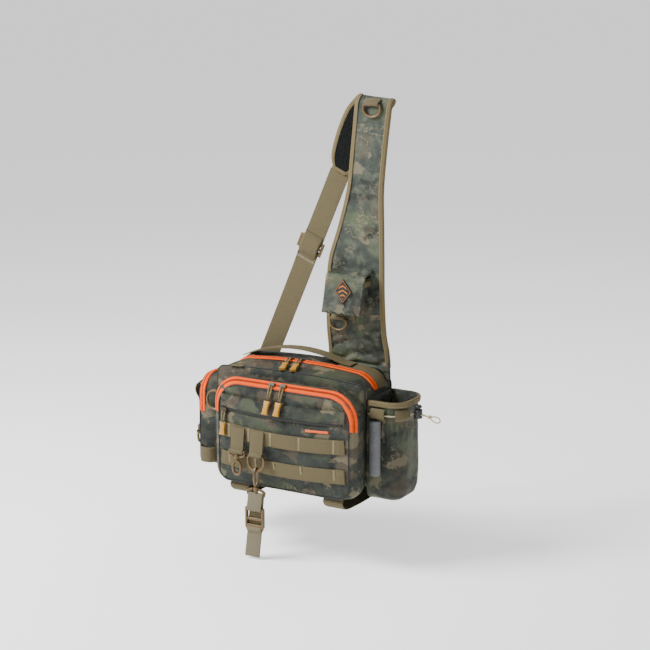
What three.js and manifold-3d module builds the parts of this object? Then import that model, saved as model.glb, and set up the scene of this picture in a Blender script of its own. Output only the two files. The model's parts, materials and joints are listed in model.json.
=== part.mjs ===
// A fishing tackle sling bag: padded shoulder strap, main and front zipped compartments, a zipped pocket on the
// left end, a bottle pocket on the right end, and webbing with hooks and rings. Millimetres, +X to the viewer's
// right, +Y to the back, +Z up. Inside the bag group, 0,0,0 is the lower left corner of the front panel; the
// exported group moves it so that the origin is under the top fold of the strap, where the bag hangs.
import * as THREE from "three";
import { mergeVertices } from "three/addons/utils/BufferGeometryUtils.js";
import Module from "manifold-3d";

const wasm = await Module();
wasm.setup();

// Driving dimensions: cloth, webbing and gaps
const wall = 2;
const gap = 0.35;
const skinGap = 0.5;
const webThickness = 1.5;
const narrowWeb = 25;
const tailWeb = 28;
const wideWeb = 38;
const wire = 2.1;
const barPlay = 0.5;
const loopPlay = 0.4;

// Front compartment
const frontWidth = 254;
const frontHeight = 171;
const frontDepth = 52;
const frontBulge = 12;
const frontSag = 4;
const frontZipOut = 12.5;
const frontZipBack = 9.5;
const frontZipEnd = 119;
const frontLowerRadius = 20;
const frontUpperRadius = 42;

// Main compartment
const mainWidth = 291;
const mainStart = -36;
const mainHeight = 194;
const mainDepth = 95;
const mainZipPlace = 48;
const mainZipWidth = 14;
const mainZipEnd = 168;
const mainCrown = 5;

// Left side pocket
const sideSpan = 82;
const sideHeight = 163;
const sideDepth = 42;
const sideBulge = 9;
const sideZipOut = 4;
const sideZipBack = 14.5;
const sideZipEnd = 97;

// Bottle pocket
const bottleWidth = 66;
const bottleSpan = 88;
const bottleInset = 6;
const bottleRim = 161;
const bottleFloor = -14;
const bottleRadius = 30;
const bindingHeight = 12;
const tunnelDrop = 20;
const cordHeight = 138;
const cordDiameter = 2.4;
const lockRadius = 7;
const lockHeight = 15;
const plungerTravel = 2.5;
const sleeveWidth = 21;
const sleeveDepth = 9;
const sleeveHeight = 94;
const sleeveFoot = 33;

// Webbing on the front panel, and what hangs from it
const rowLowerFoot = 29;
const rowUpperFoot = 80;
const hangerHeight = 40;
const hangerFoot = 60;
const hangerLeftPlace = 47;
const hangerRightPlace = 87;
const hangerStandoff = 7.8;
const flapFoot = 132;
const flapHeight = 21;
const ringHeight = 32;
const ringWidth = 36;
const hookWidth = 17;
const hookHeight = 36;
const hookLeftHeight = 30;
const eyeHeight = 12;
const ladderWidth = 37;
const ladderHeight = 40;
const ladderThickness = 4;
const ladderBar = 4;
const ladderDrop = 25.5;
const tailLength = 50;
const tailLean = 7;

// Handle and slings
const handleRise = 17;
const handleWidth = 24;
const handleReach = 184;
const handlePlace = 85;
const handleBack = 68;
const slingDrop = 22;
const slingLeftPlace = 38;
const slingRightPlace = 222;

// Strap
const strapHeight = 655;
const padThickness = 6;
const padBack = 125;
const foldGap = 30;
const glideWidth = 50;
const glideHeight = 25;
const glidePlace = 140;
const strapRingWidth = 36;
const strapRingHeight = 26;
const pouchWidth = 74;
const pouchHeight = 62;
const pouchDepth = 24;
const pouchFoot = 292;
const badgeWidth = 34;
const badgeHeight = 42;

// Hardware on the left end
const sideRingHeight = 38;
const sideRingReach = 28;
const rodLoopHeight = 27;
const rodLoopWidth = 34;
const rodLoopReach = 15;
const rodLoopFoot = 9;

// Zip pulls
const sliderLength = 11;
const sliderWidth = 6.4;
const sliderThickness = 3.2;
const pullCord = 1.9;
const gripLength = 22;
const gripWidth = 10;
const gripThickness = 4.5;

const cloth = { color: 0x555a4f, roughness: 0.85 };
const webbing = { color: 0x8c7f60, roughness: 0.9 };
const orange = { color: 0xf06a2c, roughness: 0.7 };
const moulded = { color: 0xa08a5e, roughness: 0.5 };
const gripYellow = { color: 0xc9a25a, roughness: 0.5 };
const black = { color: 0x1b1c1b, roughness: 0.5 };
const grey = { color: 0x6a6a6c, roughness: 0.7 };
const cream = { color: 0xd9cfae, roughness: 0.8 };
const steel = { color: 0x8d8570, roughness: 0.35, metalness: 0.8 };

const bag = new THREE.Group();
const rad = THREE.MathUtils.degToRad;

// A closed mesh becomes a solid, and a solid becomes a mesh again
function toSolid(geometry) {
  const bare = (geometry.index ? geometry.toNonIndexed() : geometry.clone());
  bare.deleteAttribute("normal");
  bare.deleteAttribute("uv");
  const merged = mergeVertices(bare, 1e-3);
  const made = new wasm.Manifold(
    new wasm.Mesh({
      numProp: 3,
      vertProperties: merged.attributes.position.array,
      triVerts: new Uint32Array(merged.index.array),
    }),
  );
  return made;
}

function toGeometry(solid) {
  const mesh = solid.getMesh();
  const geometry = new THREE.BufferGeometry();
  geometry.setAttribute("position", new THREE.BufferAttribute(new Float32Array(mesh.vertProperties), 3));
  geometry.setIndex(new THREE.BufferAttribute(new Uint32Array(mesh.triVerts), 1));
  return geometry;
}

function place(name, geometry, look, parent = bag) {
  const mesh = new THREE.Mesh(geometry, new THREE.MeshStandardMaterial(look));
  mesh.name = name;
  parent.add(mesh);
  return mesh;
}

// Rings of equal count, joined side by side. A closed run joins last to first. Open ends are closed to their
// middle, or by the triangles of a flat profile when the ring is bent.
function loft(rings, closed = false, flat = null) {
  const count = rings[0].length;
  const points = rings.flat();
  const faces = [];
  const last = closed ? rings.length : rings.length - 1;
  for (let r = 0; r < last; r++) {
    const here = r * count;
    const next = ((r + 1) % rings.length) * count;
    for (let i = 0; i < count; i++) {
      const j = (i + 1) % count;
      faces.push([here + i, here + j, next + j], [here + i, next + j, next + i]);
    }
  }
  if (!closed) {
    for (const [start, flip] of [[0, true], [(rings.length - 1) * count, false]]) {
      if (flat) {
        for (const [a, b, c] of THREE.ShapeUtils.triangulateShape(flat, [])) {
          const forward = THREE.ShapeUtils.isClockWise(flat) !== flip;
          faces.push(forward ? [start + a, start + c, start + b] : [start + a, start + b, start + c]);
        }
        continue;
      }
      const middle = new THREE.Vector3();
      for (let i = 0; i < count; i++) middle.add(points[start + i]);
      points.push(middle.divideScalar(count));
      for (let i = 0; i < count; i++) {
        const j = (i + 1) % count;
        faces.push(flip ? [points.length - 1, start + j, start + i] : [points.length - 1, start + i, start + j]);
      }
    }
  }
  let volume = 0;
  for (const [a, b, c] of faces) {
    volume += points[a].dot(new THREE.Vector3().crossVectors(points[b], points[c]));
  }
  const index = faces.flatMap(([a, b, c]) => (volume < 0 ? [a, c, b] : [a, b, c]));
  const geometry = new THREE.BufferGeometry().setFromPoints(points);
  geometry.setIndex(index);
  return geometry;
}

function box(low, high) {
  const geometry = new THREE.BoxGeometry(high[0] - low[0], high[1] - low[1], high[2] - low[2]);
  return geometry.translate((low[0] + high[0]) / 2, (low[1] + high[1]) / 2, (low[2] + high[2]) / 2);
}

const cut = (from, ...tools) => tools.reduce((left, tool) => left.subtract(toSolid(tool)), from);

// A rounded outline in a plane, as pairs, with a crowned top edge
function roundedOutline(shape) {
  const { left, right, bottom, top, lower, upper, crown = 0, steps = 4, across = 4 } = shape;
  const points = [];
  const corner = (x, z, radius, from) => {
    for (let i = 0; i <= steps; i++) {
      const angle = from + ((Math.PI / 2) * i) / steps;
      points.push([x + radius * Math.cos(angle), z + radius * Math.sin(angle)]);
    }
  };
  corner(left + lower, bottom + lower, lower, Math.PI);
  corner(right - lower, bottom + lower, lower, 1.5 * Math.PI);
  corner(right - upper, top - upper, upper, 0);
  for (let i = 1; i < across; i++) {
    const share = i / across;
    const lift = crown * (1 - (2 * share - 1) ** 2);
    points.push([right - upper - share * (right - left - 2 * upper), top + lift]);
  }
  corner(left + upper, top - upper, upper, Math.PI / 2);
  return points;
}

// A flat strip of webbing: a side profile along a line of points, made thick, and extruded to its width.
// The line lies in the local XY plane and the width runs along local +Z, centred.
function ribbon(line, thickness, width) {
  const points = line.map(([x, y]) => new THREE.Vector2(x, y));
  const side = (sign) =>
    points.map((point, i) => {
      const before = points[Math.max(i - 1, 0)];
      const after = points[Math.min(i + 1, points.length - 1)];
      const first = new THREE.Vector2().subVectors(point, before).normalize();
      const second = new THREE.Vector2().subVectors(after, point).normalize();
      if (i === 0) first.copy(second);
      if (i === points.length - 1) second.copy(first);
      const mean = first.clone().add(second).normalize();
      const reach = thickness / 2 / Math.max(mean.dot(first), 0.5);
      return new THREE.Vector2(point.x - sign * mean.y * reach, point.y + sign * mean.x * reach);
    });
  const shape = new THREE.Shape([...side(1), ...side(-1).reverse()]);
  const geometry = new THREE.ExtrudeGeometry(shape, { depth: width, bevelEnabled: false });
  return geometry.translate(0, 0, -width / 2);
}

// The same strip standing up: its line holds y and z, and its width runs along x
function ribbonOf(line, width, thickness = webThickness) {
  return ribbon(line, thickness, width).rotateX(Math.PI / 2).rotateZ(Math.PI / 2);
}

// A webbing tab folded round a bar: bar at local 0,0, strip running to local +Y, width along local Z, centred.
function foldedTab(barRadius, thickness, length, width) {
  const inner = barRadius + barPlay;
  const outer = inner + thickness;
  const half = thickness + 0.1;
  const start = Math.asin(half / outer);
  const shape = new THREE.Shape();
  shape.moveTo(-half, length);
  shape.lineTo(-half, outer * Math.cos(start));
  shape.absarc(0, 0, outer, Math.PI / 2 + start, Math.PI / 2 - start + 2 * Math.PI, false);
  shape.lineTo(half, length);
  shape.closePath();
  const hole = new THREE.Path();
  hole.absarc(0, 0, inner, 0, 2 * Math.PI, true);
  shape.holes.push(hole);
  const geometry = new THREE.ExtrudeGeometry(shape, { depth: width, bevelEnabled: false, curveSegments: 7 });
  return geometry.translate(0, 0, -width / 2);
}

// Round wire along points that lie in one plane: a ring when closed
function wireRing(points, radius, normal, closed = true, sides = 6) {
  const rings = points.map((point, i) => {
    const count = points.length;
    const before = points[closed ? (i + count - 1) % count : Math.max(i - 1, 0)];
    const after = points[closed ? (i + 1) % count : Math.min(i + 1, count - 1)];
    const along = new THREE.Vector3().subVectors(after, before).normalize();
    const outward = new THREE.Vector3().crossVectors(along, normal);
    const ring = [];
    for (let k = 0; k < sides; k++) {
      const angle = (2 * Math.PI * (k + 0.5)) / sides;
      ring.push(
        point
          .clone()
          .addScaledVector(outward, radius * Math.cos(angle))
          .addScaledVector(normal, radius * Math.sin(angle)),
      );
    }
    return ring;
  });
  return loft(rings, closed);
}

// A D ring in the local XZ plane: straight bar along X at 0,0, bow hanging to local -Z
function bowRing(width, height, radius = wire) {
  const half = width / 2 - radius;
  const drop = height - 2 * radius;
  const points = [new THREE.Vector3(half, 0, 0)];
  const bow = 9;
  for (let i = 0; i <= bow; i++) {
    const angle = (Math.PI * i) / bow;
    const x = half * Math.cos(angle);
    points.push(new THREE.Vector3(x, 0, -drop * 0.38 - drop * 0.62 * Math.sin(angle)));
  }
  points.push(new THREE.Vector3(-half, 0, 0));
  return wireRing(points, radius, new THREE.Vector3(0, 1, 0));
}

// Main compartment: rows follow its depth, front seam to back panel. rise, upper and lower are shares of the height.
const mainRows = [
  { at: 0, rise: -0.04, upper: 0.07, lower: 0.1 },
  { at: 0.1, rise: -0.03, upper: 0.13, lower: 0.11 },
  { at: 0.45, rise: 0, upper: 0.23, lower: 0.11 },
  { at: 0.8, rise: 0.012, upper: 0.2, lower: 0.11 },
  { at: 1, rise: -0.005, upper: 0.14, lower: 0.1 },
];
const mainFront = frontDepth;
const mainBack = mainFront + mainDepth;
const mainEnd = mainStart + mainWidth;

function mainForm(grow) {
  const rings = mainRows.map((row, i) => {
    const shift = i === 0 ? -grow : i === mainRows.length - 1 ? grow : 0;
    const y = mainFront + row.at * mainDepth + shift;
    const outline = roundedOutline({
      left: mainStart - grow,
      right: mainEnd + grow,
      bottom: -grow,
      top: mainHeight * (1 + row.rise) + grow,
      lower: mainHeight * row.lower + grow,
      upper: mainHeight * row.upper + grow,
      crown: mainCrown,
    });
    return outline.map(([x, z]) => new THREE.Vector3(x, y, z));
  });
  return toSolid(loft(rings));
}

function mainCompartment() {
  const shell = mainForm(0).subtract(mainForm(-wall));
  const far = 2 * mainWidth;
  const zipAt = (margin) =>
    toSolid(
      box(
        [mainStart - far, mainFront + mainZipPlace - mainZipWidth / 2 + margin, mainZipEnd + margin],
        [mainEnd + far, mainFront + mainZipPlace + mainZipWidth / 2 - margin, mainHeight * 2],
      ),
    );
  place("main_compartment", toGeometry(shell.subtract(zipAt(0))), cloth);
  place("main_zip", toGeometry(shell.intersect(zipAt(gap))), orange);
}

// An arch-zipped pocket in its own frame: panel at y = 0 facing -y, open back at y = depth, x from 0 to width.
// Rows follow the depth; out and back are shares of the zip band's own reach, and rest is the share of the
// depth behind the band.
const pocketRows = [
  { out: 0, back: 0, rest: 0 },
  { out: 0.62, back: 0.45, rest: 0 },
  { out: 1, back: 1, rest: 0 },
  { out: 0.85, back: 1, rest: 0.45 },
  { out: 0.35, back: 1, rest: 1 },
];
const panelRings = [0, 0.4, 0.75];

function panelDepth(pocket, x, z) {
  const u = (2 * x) / pocket.width - 1;
  const v = (2 * z) / pocket.height - 1;
  return -pocket.bulge * Math.max(1 - u * u, 0) * Math.max(1 - v * v, 0);
}

function pocketOutline(pocket, out, inset) {
  return roundedOutline({
    left: -out + inset,
    right: pocket.width + out - inset,
    bottom: inset,
    top: pocket.height + out - inset,
    lower: Math.max(pocket.lower - inset, 1),
    upper: Math.max(pocket.upper + out * 0.5 - inset, 1),
  });
}

// inset moves every wall inwards; reach moves the open end
function pocketForm(pocket, inset, reach) {
  const middle = [pocket.width / 2, pocket.height / 2];
  const edge = pocketOutline(pocket, 0, inset);
  const rings = panelRings.map((share) =>
    edge.map(([x, z]) => {
      const px = middle[0] + (x - middle[0]) * Math.max(share, 0.01);
      const pz = middle[1] + (z - middle[1]) * Math.max(share, 0.01);
      return new THREE.Vector3(px, panelDepth(pocket, px, pz) + inset, pz);
    }),
  );
  const rest = pocket.depth - pocket.zipBack;
  for (const row of pocketRows) {
    const outline = pocketOutline(pocket, row.out * pocket.zipOut, inset);
    const y = row.back * pocket.zipBack + row.rest * rest + (row.rest === 1 ? reach : row.rest ? 0 : inset);
    rings.push(outline.map(([x, z]) => new THREE.Vector3(x, y, z)));
  }
  return toSolid(loft(rings));
}

function archPocket(pocket) {
  const shell = pocketForm(pocket, 0, 0).subtract(pocketForm(pocket, wall, wall));
  const far = pocket.width * 2;
  const zipAt = (margin) => {
    const band = toSolid(
      box([-far, 0.4 + margin, pocket.zipEnd + margin], [far * 2, pocket.zipBack - margin, far]),
    );
    const inner = pocketOutline(pocket, 0, -margin).map(([x, z]) => new THREE.Vector2(x, z));
    const prism = new THREE.ExtrudeGeometry(new THREE.Shape(inner), { depth: far, bevelEnabled: false });
    prism.rotateX(Math.PI / 2).translate(0, far / 2, 0);
    return band.subtract(toSolid(prism));
  };
  return { body: toGeometry(shell.subtract(zipAt(0))), zip: toGeometry(shell.intersect(zipAt(gap))) };
}

const frontPocket = {
  width: frontWidth,
  height: frontHeight,
  depth: frontDepth - gap,
  bulge: frontBulge,
  zipOut: frontZipOut,
  zipBack: frontZipBack,
  zipEnd: frontZipEnd,
  lower: frontLowerRadius,
  upper: frontUpperRadius,
};

function frontCompartment() {
  const made = archPocket(frontPocket);
  place("front_compartment", made.body, cloth);
  place("front_zip", made.zip, orange);
}

// Strips that lie on the front panel follow its bulge and sag with it
const sagAt = (x) => -frontSag * Math.max(1 - ((2 * x) / frontWidth - 1) ** 2, 0);
const frontAt = (x, z) => panelDepth(frontPocket, x, z);
const panelEdge = 6;
const stripProfile = [[0, 0], [0, 1], [0.5, 1], [1, 1], [1, 0], [0.5, 0]];

function panelStrip(foot, height, thickness) {
  const rings = [];
  const steps = 12;
  for (let i = 0; i <= steps; i++) {
    const x = panelEdge + ((frontWidth - 2 * panelEdge) * i) / steps;
    rings.push(
      stripProfile.map(([rise, out]) => {
        const z = foot + rise * height + sagAt(x);
        return new THREE.Vector3(x, frontAt(x, z) - skinGap - out * thickness, z);
      }),
    );
  }
  return loft(rings);
}

function frontWebbing() {
  place("molle_row_lower", panelStrip(rowLowerFoot, narrowWeb, webThickness), webbing);
  place("molle_row_upper", panelStrip(rowUpperFoot, narrowWeb, webThickness), webbing);
  place("slot_flap", panelStrip(flapFoot, flapHeight, wall), cloth);
}

// A hanger is a double strip sewn at its top, with its lower end folded round a bar
const foldOuter = wire + barPlay + webThickness;
const stripHalf = webThickness + 0.1;

function hangerFace(x) {
  const middle = hangerFoot + hangerHeight / 2;
  const low = frontAt(x - narrowWeb / 2, middle);
  const high = frontAt(x + narrowWeb / 2, middle);
  return Math.min(low, high) - skinGap - webThickness - hangerStandoff;
}

// Moves each point along one axis in step with its distance along another
function shear(geometry, moved, by, share) {
  const axes = { x: 0, y: 4, z: 8 };
  const matrix = new THREE.Matrix4();
  const order = ["x", "y", "z"];
  const row = order.indexOf(moved);
  const column = order.indexOf(by);
  matrix.elements[axes[by] + row] = share;
  matrix.elements[column * 4 + column] = 1;
  return geometry.applyMatrix4(matrix);
}

// A tab stands with its strip upwards (+Z), the bar along X and its width along X
function standingTab(barRadius, length, width, lean = 0) {
  const tab = foldedTab(barRadius, webThickness, length, width);
  tab.rotateX(Math.PI / 2).rotateZ(Math.PI / 2);
  tab.rotateZ(Math.PI);
  return shear(tab, "y", "z", lean);
}

function hanger(name, x) {
  const lean = (hangerStandoff - stripHalf - gap) / hangerHeight;
  const mesh = place(name, standingTab(wire, hangerHeight, narrowWeb, lean), webbing);
  mesh.position.set(x, hangerFace(x), hangerFoot);
}

// A swivel: an eye with a boss at its bow, and a snap hook whose shank turns in the boss. The eye's bar is at
// 0,0,0 and all hangs to -Z.
const shankRadius = 1.9;
const bossRadius = 4.4;
const bossRise = 2.5;
const bossDrop = 3;
const headRadius = 3.6;
const headHeight = 2;
const eyeSlack = 1.2;
const eyeDrop = eyeHeight - 2 * wire + 2;

function swivelBase(webWidth) {
  const eye = bowRing(webWidth + 4 * wire + eyeSlack, eyeDrop + 2 * wire);
  const boss = new THREE.CylinderGeometry(bossRadius, bossRadius, bossRise + bossDrop, 12).rotateX(Math.PI / 2);
  boss.translate(0, 0, -eyeDrop + (bossRise - bossDrop) / 2);
  const bore = new THREE.CylinderGeometry(shankRadius + gap, shankRadius + gap, 30, 12).rotateX(Math.PI / 2);
  bore.translate(0, 0, -eyeDrop);
  return toGeometry(cut(toSolid(eye).add(toSolid(boss)), bore));
}

const hookTop = -eyeDrop - bossDrop - gap - 0.1;
const hookSteps = 14;
const linkPlay = 1.1;
const tailFall = 60;

function snapHook(width, height, turned) {
  const half = width / 2 - wire;
  const drop = height / 2 - wire;
  const points = [];
  for (let i = 0; i < hookSteps; i++) {
    const angle = (2 * Math.PI * i) / hookSteps;
    points.push(new THREE.Vector3(half * Math.sin(angle), 0, hookTop - wire - drop + drop * Math.cos(angle)));
  }
  const oval = wireRing(points, wire, new THREE.Vector3(0, 1, 0));
  if (turned) oval.rotateZ(Math.PI / 2);
  const headFoot = -eyeDrop + bossRise + gap;
  const profile = [
    [0, hookTop - wire],
    [shankRadius, hookTop - wire],
    [shankRadius, headFoot],
    [headRadius, headFoot],
    [headRadius, headFoot + headHeight],
    [0, headFoot + headHeight],
  ].map(([r, z]) => new THREE.Vector2(r, z));
  const shank = new THREE.LatheGeometry(profile, 10).rotateX(Math.PI / 2);
  return toGeometry(toSolid(oval).add(toSolid(shank)));
}

// Centre line of the ladder lock's bars, from its top bar down
const barHalfDiagonal = (ladderBar * Math.SQRT2) / 2;
const lockSlot = (ladderHeight - 3 * ladderBar) / 2;

function ladderLock() {
  const shape = new THREE.Shape();
  const half = ladderWidth / 2;
  const round = 5;
  shape.moveTo(-half, ladderBar / 2);
  shape.lineTo(-half, -ladderHeight + ladderBar / 2 + round);
  shape.quadraticCurveTo(-half, -ladderHeight + ladderBar / 2, -half + round, -ladderHeight + ladderBar / 2);
  shape.lineTo(half - round, -ladderHeight + ladderBar / 2);
  shape.quadraticCurveTo(half, -ladderHeight + ladderBar / 2, half, -ladderHeight + ladderBar / 2 + round);
  shape.lineTo(half, ladderBar / 2);
  shape.closePath();
  const inner = tailWeb / 2 + 1.6;
  for (const top of [-ladderBar / 2, -ladderBar * 1.5 - lockSlot]) {
    const slot = new THREE.Path();
    slot.moveTo(-inner, top);
    slot.lineTo(inner, top);
    slot.lineTo(inner, top - lockSlot);
    slot.lineTo(-inner, top - lockSlot);
    slot.closePath();
    shape.holes.push(slot);
  }
  const plate = new THREE.ExtrudeGeometry(shape, { depth: ladderThickness, bevelEnabled: false, curveSegments: 4 });
  return plate.translate(0, 0, -ladderThickness / 2).rotateX(Math.PI / 2);
}

// A loop of webbing round two bars, the upper at 0,0,0 and the lower one at -Z
function doubleLoop(upper, lower, drop, width) {
  const outline = (extra) => {
    const points = [];
    for (let i = 0; i <= 8; i++) {
      const angle = (Math.PI * i) / 8;
      points.push([(upper + extra) * Math.cos(angle), (upper + extra) * Math.sin(angle)]);
    }
    for (let i = 0; i <= 8; i++) {
      const angle = Math.PI + (Math.PI * i) / 8;
      points.push([(lower + extra) * Math.cos(angle), -drop + (lower + extra) * Math.sin(angle)]);
    }
    return points.map(([x, z]) => new THREE.Vector2(x, z));
  };
  const shape = new THREE.Shape(outline(webThickness));
  shape.holes.push(new THREE.Path(outline(0).reverse()));
  const loop = new THREE.ExtrudeGeometry(shape, { depth: width, bevelEnabled: false });
  return loop.translate(0, 0, -width / 2).rotateX(Math.PI / 2).rotateZ(Math.PI / 2);
}

function hangingHardware() {
  const left = new THREE.Group();
  left.position.set(hangerLeftPlace, hangerFace(hangerLeftPlace), hangerFoot);
  bag.add(left);
  place("hook_left_base", swivelBase(narrowWeb), moulded, left);
  place("hook_left", snapHook(hookWidth + 3, hookLeftHeight, false), moulded, left);

  const right = new THREE.Group();
  right.position.set(hangerRightPlace, hangerFace(hangerRightPlace), hangerFoot);
  bag.add(right);
  place("front_ring", bowRing(ringWidth, ringHeight), moulded, right);

  const clipped = new THREE.Group();
  const ringFloor = -(ringHeight - 2 * wire);
  clipped.rotation.x = Math.PI;
  right.add(clipped);
  clipped.position.z = ringFloor + 3 * wire + linkPlay + hookTop - hookHeight;
  place("hook_right", snapHook(hookWidth, hookHeight, true), moulded, clipped);
  place("hook_right_base", swivelBase(tailWeb), moulded, clipped);

  const strap = new THREE.Group();
  strap.position.z = clipped.position.z;
  right.add(strap);
  const loop = doubleLoop(wire + loopPlay, barHalfDiagonal + loopPlay, ladderDrop, tailWeb);
  place("ladder_strap", shear(loop, "x", "z", tailLean / tailFall), webbing, strap);
  const ladder = place("ladder_lock", ladderLock(), moulded, strap);
  ladder.position.set((-ladderDrop * tailLean) / tailFall, 0, -ladderDrop);
  const tail = foldedTab(barHalfDiagonal, webThickness, tailLength, tailWeb);
  tail.rotateX(Math.PI / 2).rotateZ(Math.PI / 2).rotateX(Math.PI);
  const hung = place("ladder_tail", shear(tail, "x", "z", tailLean / tailFall), webbing, strap);
  hung.position.set(ladder.position.x, 0, -ladderDrop - ladderHeight + ladderBar);
}

// Height of the main compartment's top at a place, walked from its rows
function topAt(x, y) {
  const share = (y - mainFront) / mainDepth;
  const next = Math.max(mainRows.findIndex((row) => row.at >= share), 1);
  const heights = [mainRows[next - 1], mainRows[next]].map((row) => {
    const upper = mainHeight * row.upper;
    const top = mainHeight * (1 + row.rise);
    const left = mainStart + upper;
    const right = mainEnd - upper;
    if (x >= left && x <= right) {
      return top + mainCrown * (1 - (2 * ((x - left) / (right - left)) - 1) ** 2);
    }
    const past = Math.min(x < left ? left - x : x - right, upper);
    return top - upper + Math.sqrt(upper ** 2 - past ** 2);
  });
  const span = mainRows[next].at - mainRows[next - 1].at;
  const blend = (share - mainRows[next - 1].at) / span;
  return heights[0] + (heights[1] - heights[0]) * blend;
}

const patchLift = 0.5;
const patchThickness = 1.2;

// A patch of webbing on the top: a slice of the compartment's own form, grown outwards
function topPatch(left, right, front, back, foot) {
  const skin = mainForm(patchLift + patchThickness).subtract(mainForm(patchLift));
  const prism = box([left, front, foot], [right, back, mainHeight * 1.5]);
  return toGeometry(skin.intersect(toSolid(prism)));
}

function handle() {
  const middle = mainFront + handleBack;
  const start = handlePlace - handleReach / 2;
  const end = handlePlace + handleReach / 2;
  const lift = patchLift + patchThickness + gap + 0.6 + webThickness / 2;
  const top = (x) => Math.max(topAt(x, middle - handleWidth / 2), topAt(x, middle + handleWidth / 2)) + lift;
  const line = [];
  const foot = 20;
  line.push([start - foot * 0.6, top(start - foot * 0.6)], [start, top(start)]);
  const steps = 12;
  for (let i = 1; i < steps; i++) {
    const share = i / steps;
    const base = top(start) + (top(end) - top(start)) * share;
    line.push([start + (end - start) * share, base + handleRise * Math.sin(Math.PI * share) ** 0.8]);
  }
  line.push([end, top(end)], [end + foot, top(end + foot)]);
  const strip = ribbon(line, webThickness, handleWidth).rotateX(Math.PI / 2);
  const mesh = place("carry_handle", strip, webbing);
  mesh.position.y = middle;
  const patchFront = middle - handleWidth / 2 - 1;
  const patchBack = middle + handleWidth / 2 + 1;
  place("handle_wing_left", topPatch(mainStart + 8, start + 12, patchFront, patchBack, mainHeight * 0.85), webbing);
  const wing = topPatch(end - 4, mainEnd + 5, patchFront, patchBack, mainZipEnd);
  place("handle_wing_right", wing, webbing);
}

// Slings of wide webbing hang under the bag, front seam to back seam. Rows hold shares of the bag's depth and
// of the sling's drop.
const slingRows = [
  { back: 0.055, drop: 0 },
  { back: 0.027, drop: 0.36 },
  { back: 0.068, drop: 0.72 },
  { back: 0.16, drop: 0.95 },
  { back: 0.51, drop: 1.04 },
  { back: 0.85, drop: 0.95 },
  { back: 0.945, drop: 0.72 },
  { back: 0.985, drop: 0.36 },
  { back: 0.96, drop: 0 },
];

function slings() {
  const foot = -gap - webThickness / 2;
  const line = slingRows.map((row) => [row.back * mainBack, foot - row.drop * slingDrop]);
  for (const [name, x] of [["bottom_loop_left", slingLeftPlace], ["bottom_loop_right", slingRightPlace]]) {
    place(name, ribbonOf(line, wideWeb), webbing).position.x = x;
  }
}

// Left side pocket: the arch pocket turned to face -X. Its x runs from back to front.
const sidePocketShape = {
  width: sideSpan,
  height: sideHeight - sideZipOut,
  depth: sideDepth,
  bulge: sideBulge,
  zipOut: sideZipOut,
  zipBack: sideZipBack,
  zipEnd: sideZipEnd,
  lower: 14,
  upper: 34,
};
const sideFrame = new THREE.Group();
sideFrame.position.set(mainStart - gap - sideDepth, mainBack - (mainDepth - sideSpan) / 2, 0);
sideFrame.rotation.z = -Math.PI / 2;
bag.add(sideFrame);

function sidePocket() {
  const made = archPocket(sidePocketShape);
  place("side_pocket", made.body, cloth, sideFrame);
  place("side_zip", made.zip, orange, sideFrame);
}

// Webbing on the side pocket's outer panel: rows follow its length, foot to head, as shares of its own height,
// and stand is how far the slack part stands off, as a share of stripSlack.
const stripPlace = 66;
const stripFoot = 56;
const stripHead = 147;
const stripSlack = 9;
const stripRows = [
  { at: 1, stand: 0 },
  { at: 0.96, stand: 0.7 },
  { at: 0.88, stand: 1 },
  { at: 0.78, stand: 0.9 },
  { at: 0.7, stand: 0.3 },
  { at: 0.64, stand: 0 },
  { at: 0.4, stand: 0 },
  { at: 0.1, stand: 0 },
];
const stripSide = narrowWeb / 2;

function sideWebbing() {
  const face = (z) => {
    const near = panelDepth(sidePocketShape, stripPlace - stripSide, z);
    const far = panelDepth(sidePocketShape, stripPlace + stripSide, z);
    return { middle: (near + far) / 2, slope: (far - near) / narrowWeb };
  };
  const waist = stripFoot + (stripHead - stripFoot) * 0.3;
  const yaw = Math.atan(face(waist).slope);
  const group = new THREE.Group();
  group.position.set(stripPlace, face(waist).middle, 0);
  group.rotation.z = yaw;
  sideFrame.add(group);
  const line = stripRows.map((row) => {
    const z = stripFoot + (stripHead - stripFoot) * row.at;
    const seats = [-stripSide, 0, stripSide].map(
      (x) => panelDepth(sidePocketShape, stripPlace + x, z) - Math.tan(yaw) * x,
    );
    const seat = Math.min(...seats) - face(waist).middle - gap - webThickness / 2;
    return [seat - row.stand * stripSlack, z];
  });
  const barY = line.at(-1)[0] - stripHalf - foldOuter * 0.25;
  const tabReach = 8;
  const lean = (line.at(-2)[0] - barY) / (line.at(-2)[1] - stripFoot);
  const tab = standingTab(wire, tabReach + foldOuter, narrowWeb, lean * 0.4).translate(0, barY, stripFoot);
  place("side_webbing", toGeometry(toSolid(ribbonOf(line, narrowWeb)).add(toSolid(tab))), webbing, group);
  const ring = place("side_webbing_ring", bowRing(narrowWeb + 4 * wire + eyeSlack, strapRingHeight), moulded, group);
  ring.position.set(0, barY, stripFoot);
}

// A ring and tab on the seam between the front compartment and the left end
function sideRing() {
  const group = new THREE.Group();
  const seat = mainFront - gap - foldOuter;
  group.position.set(mainStart + foldOuter, seat, sideZipEnd + 26);
  group.rotation.y = Math.PI / 2;
  bag.add(group);
  const reach = 20;
  const lean = (foldOuter - stripHalf) / reach;
  place("side_ring_tab", standingTab(wire, reach, sideRingHeight - 4 * wire - eyeSlack, lean), webbing, group);
  place("side_ring", bowRing(sideRingHeight, sideRingReach), moulded, group);
}

// Rod loop on the side pocket's front gusset. Rows go from its right end to its left one; out is the share of
// the loop's reach, and both ends are sewn to the gusset.
const rodRows = [
  { along: 0.46, out: 0 },
  { along: 0.43, out: 0.4 },
  { along: 0.27, out: 0.85 },
  { along: 0, out: 1 },
  { along: -0.27, out: 0.85 },
  { along: -0.43, out: 0.4 },
  { along: -0.46, out: 0 },
];

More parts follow.
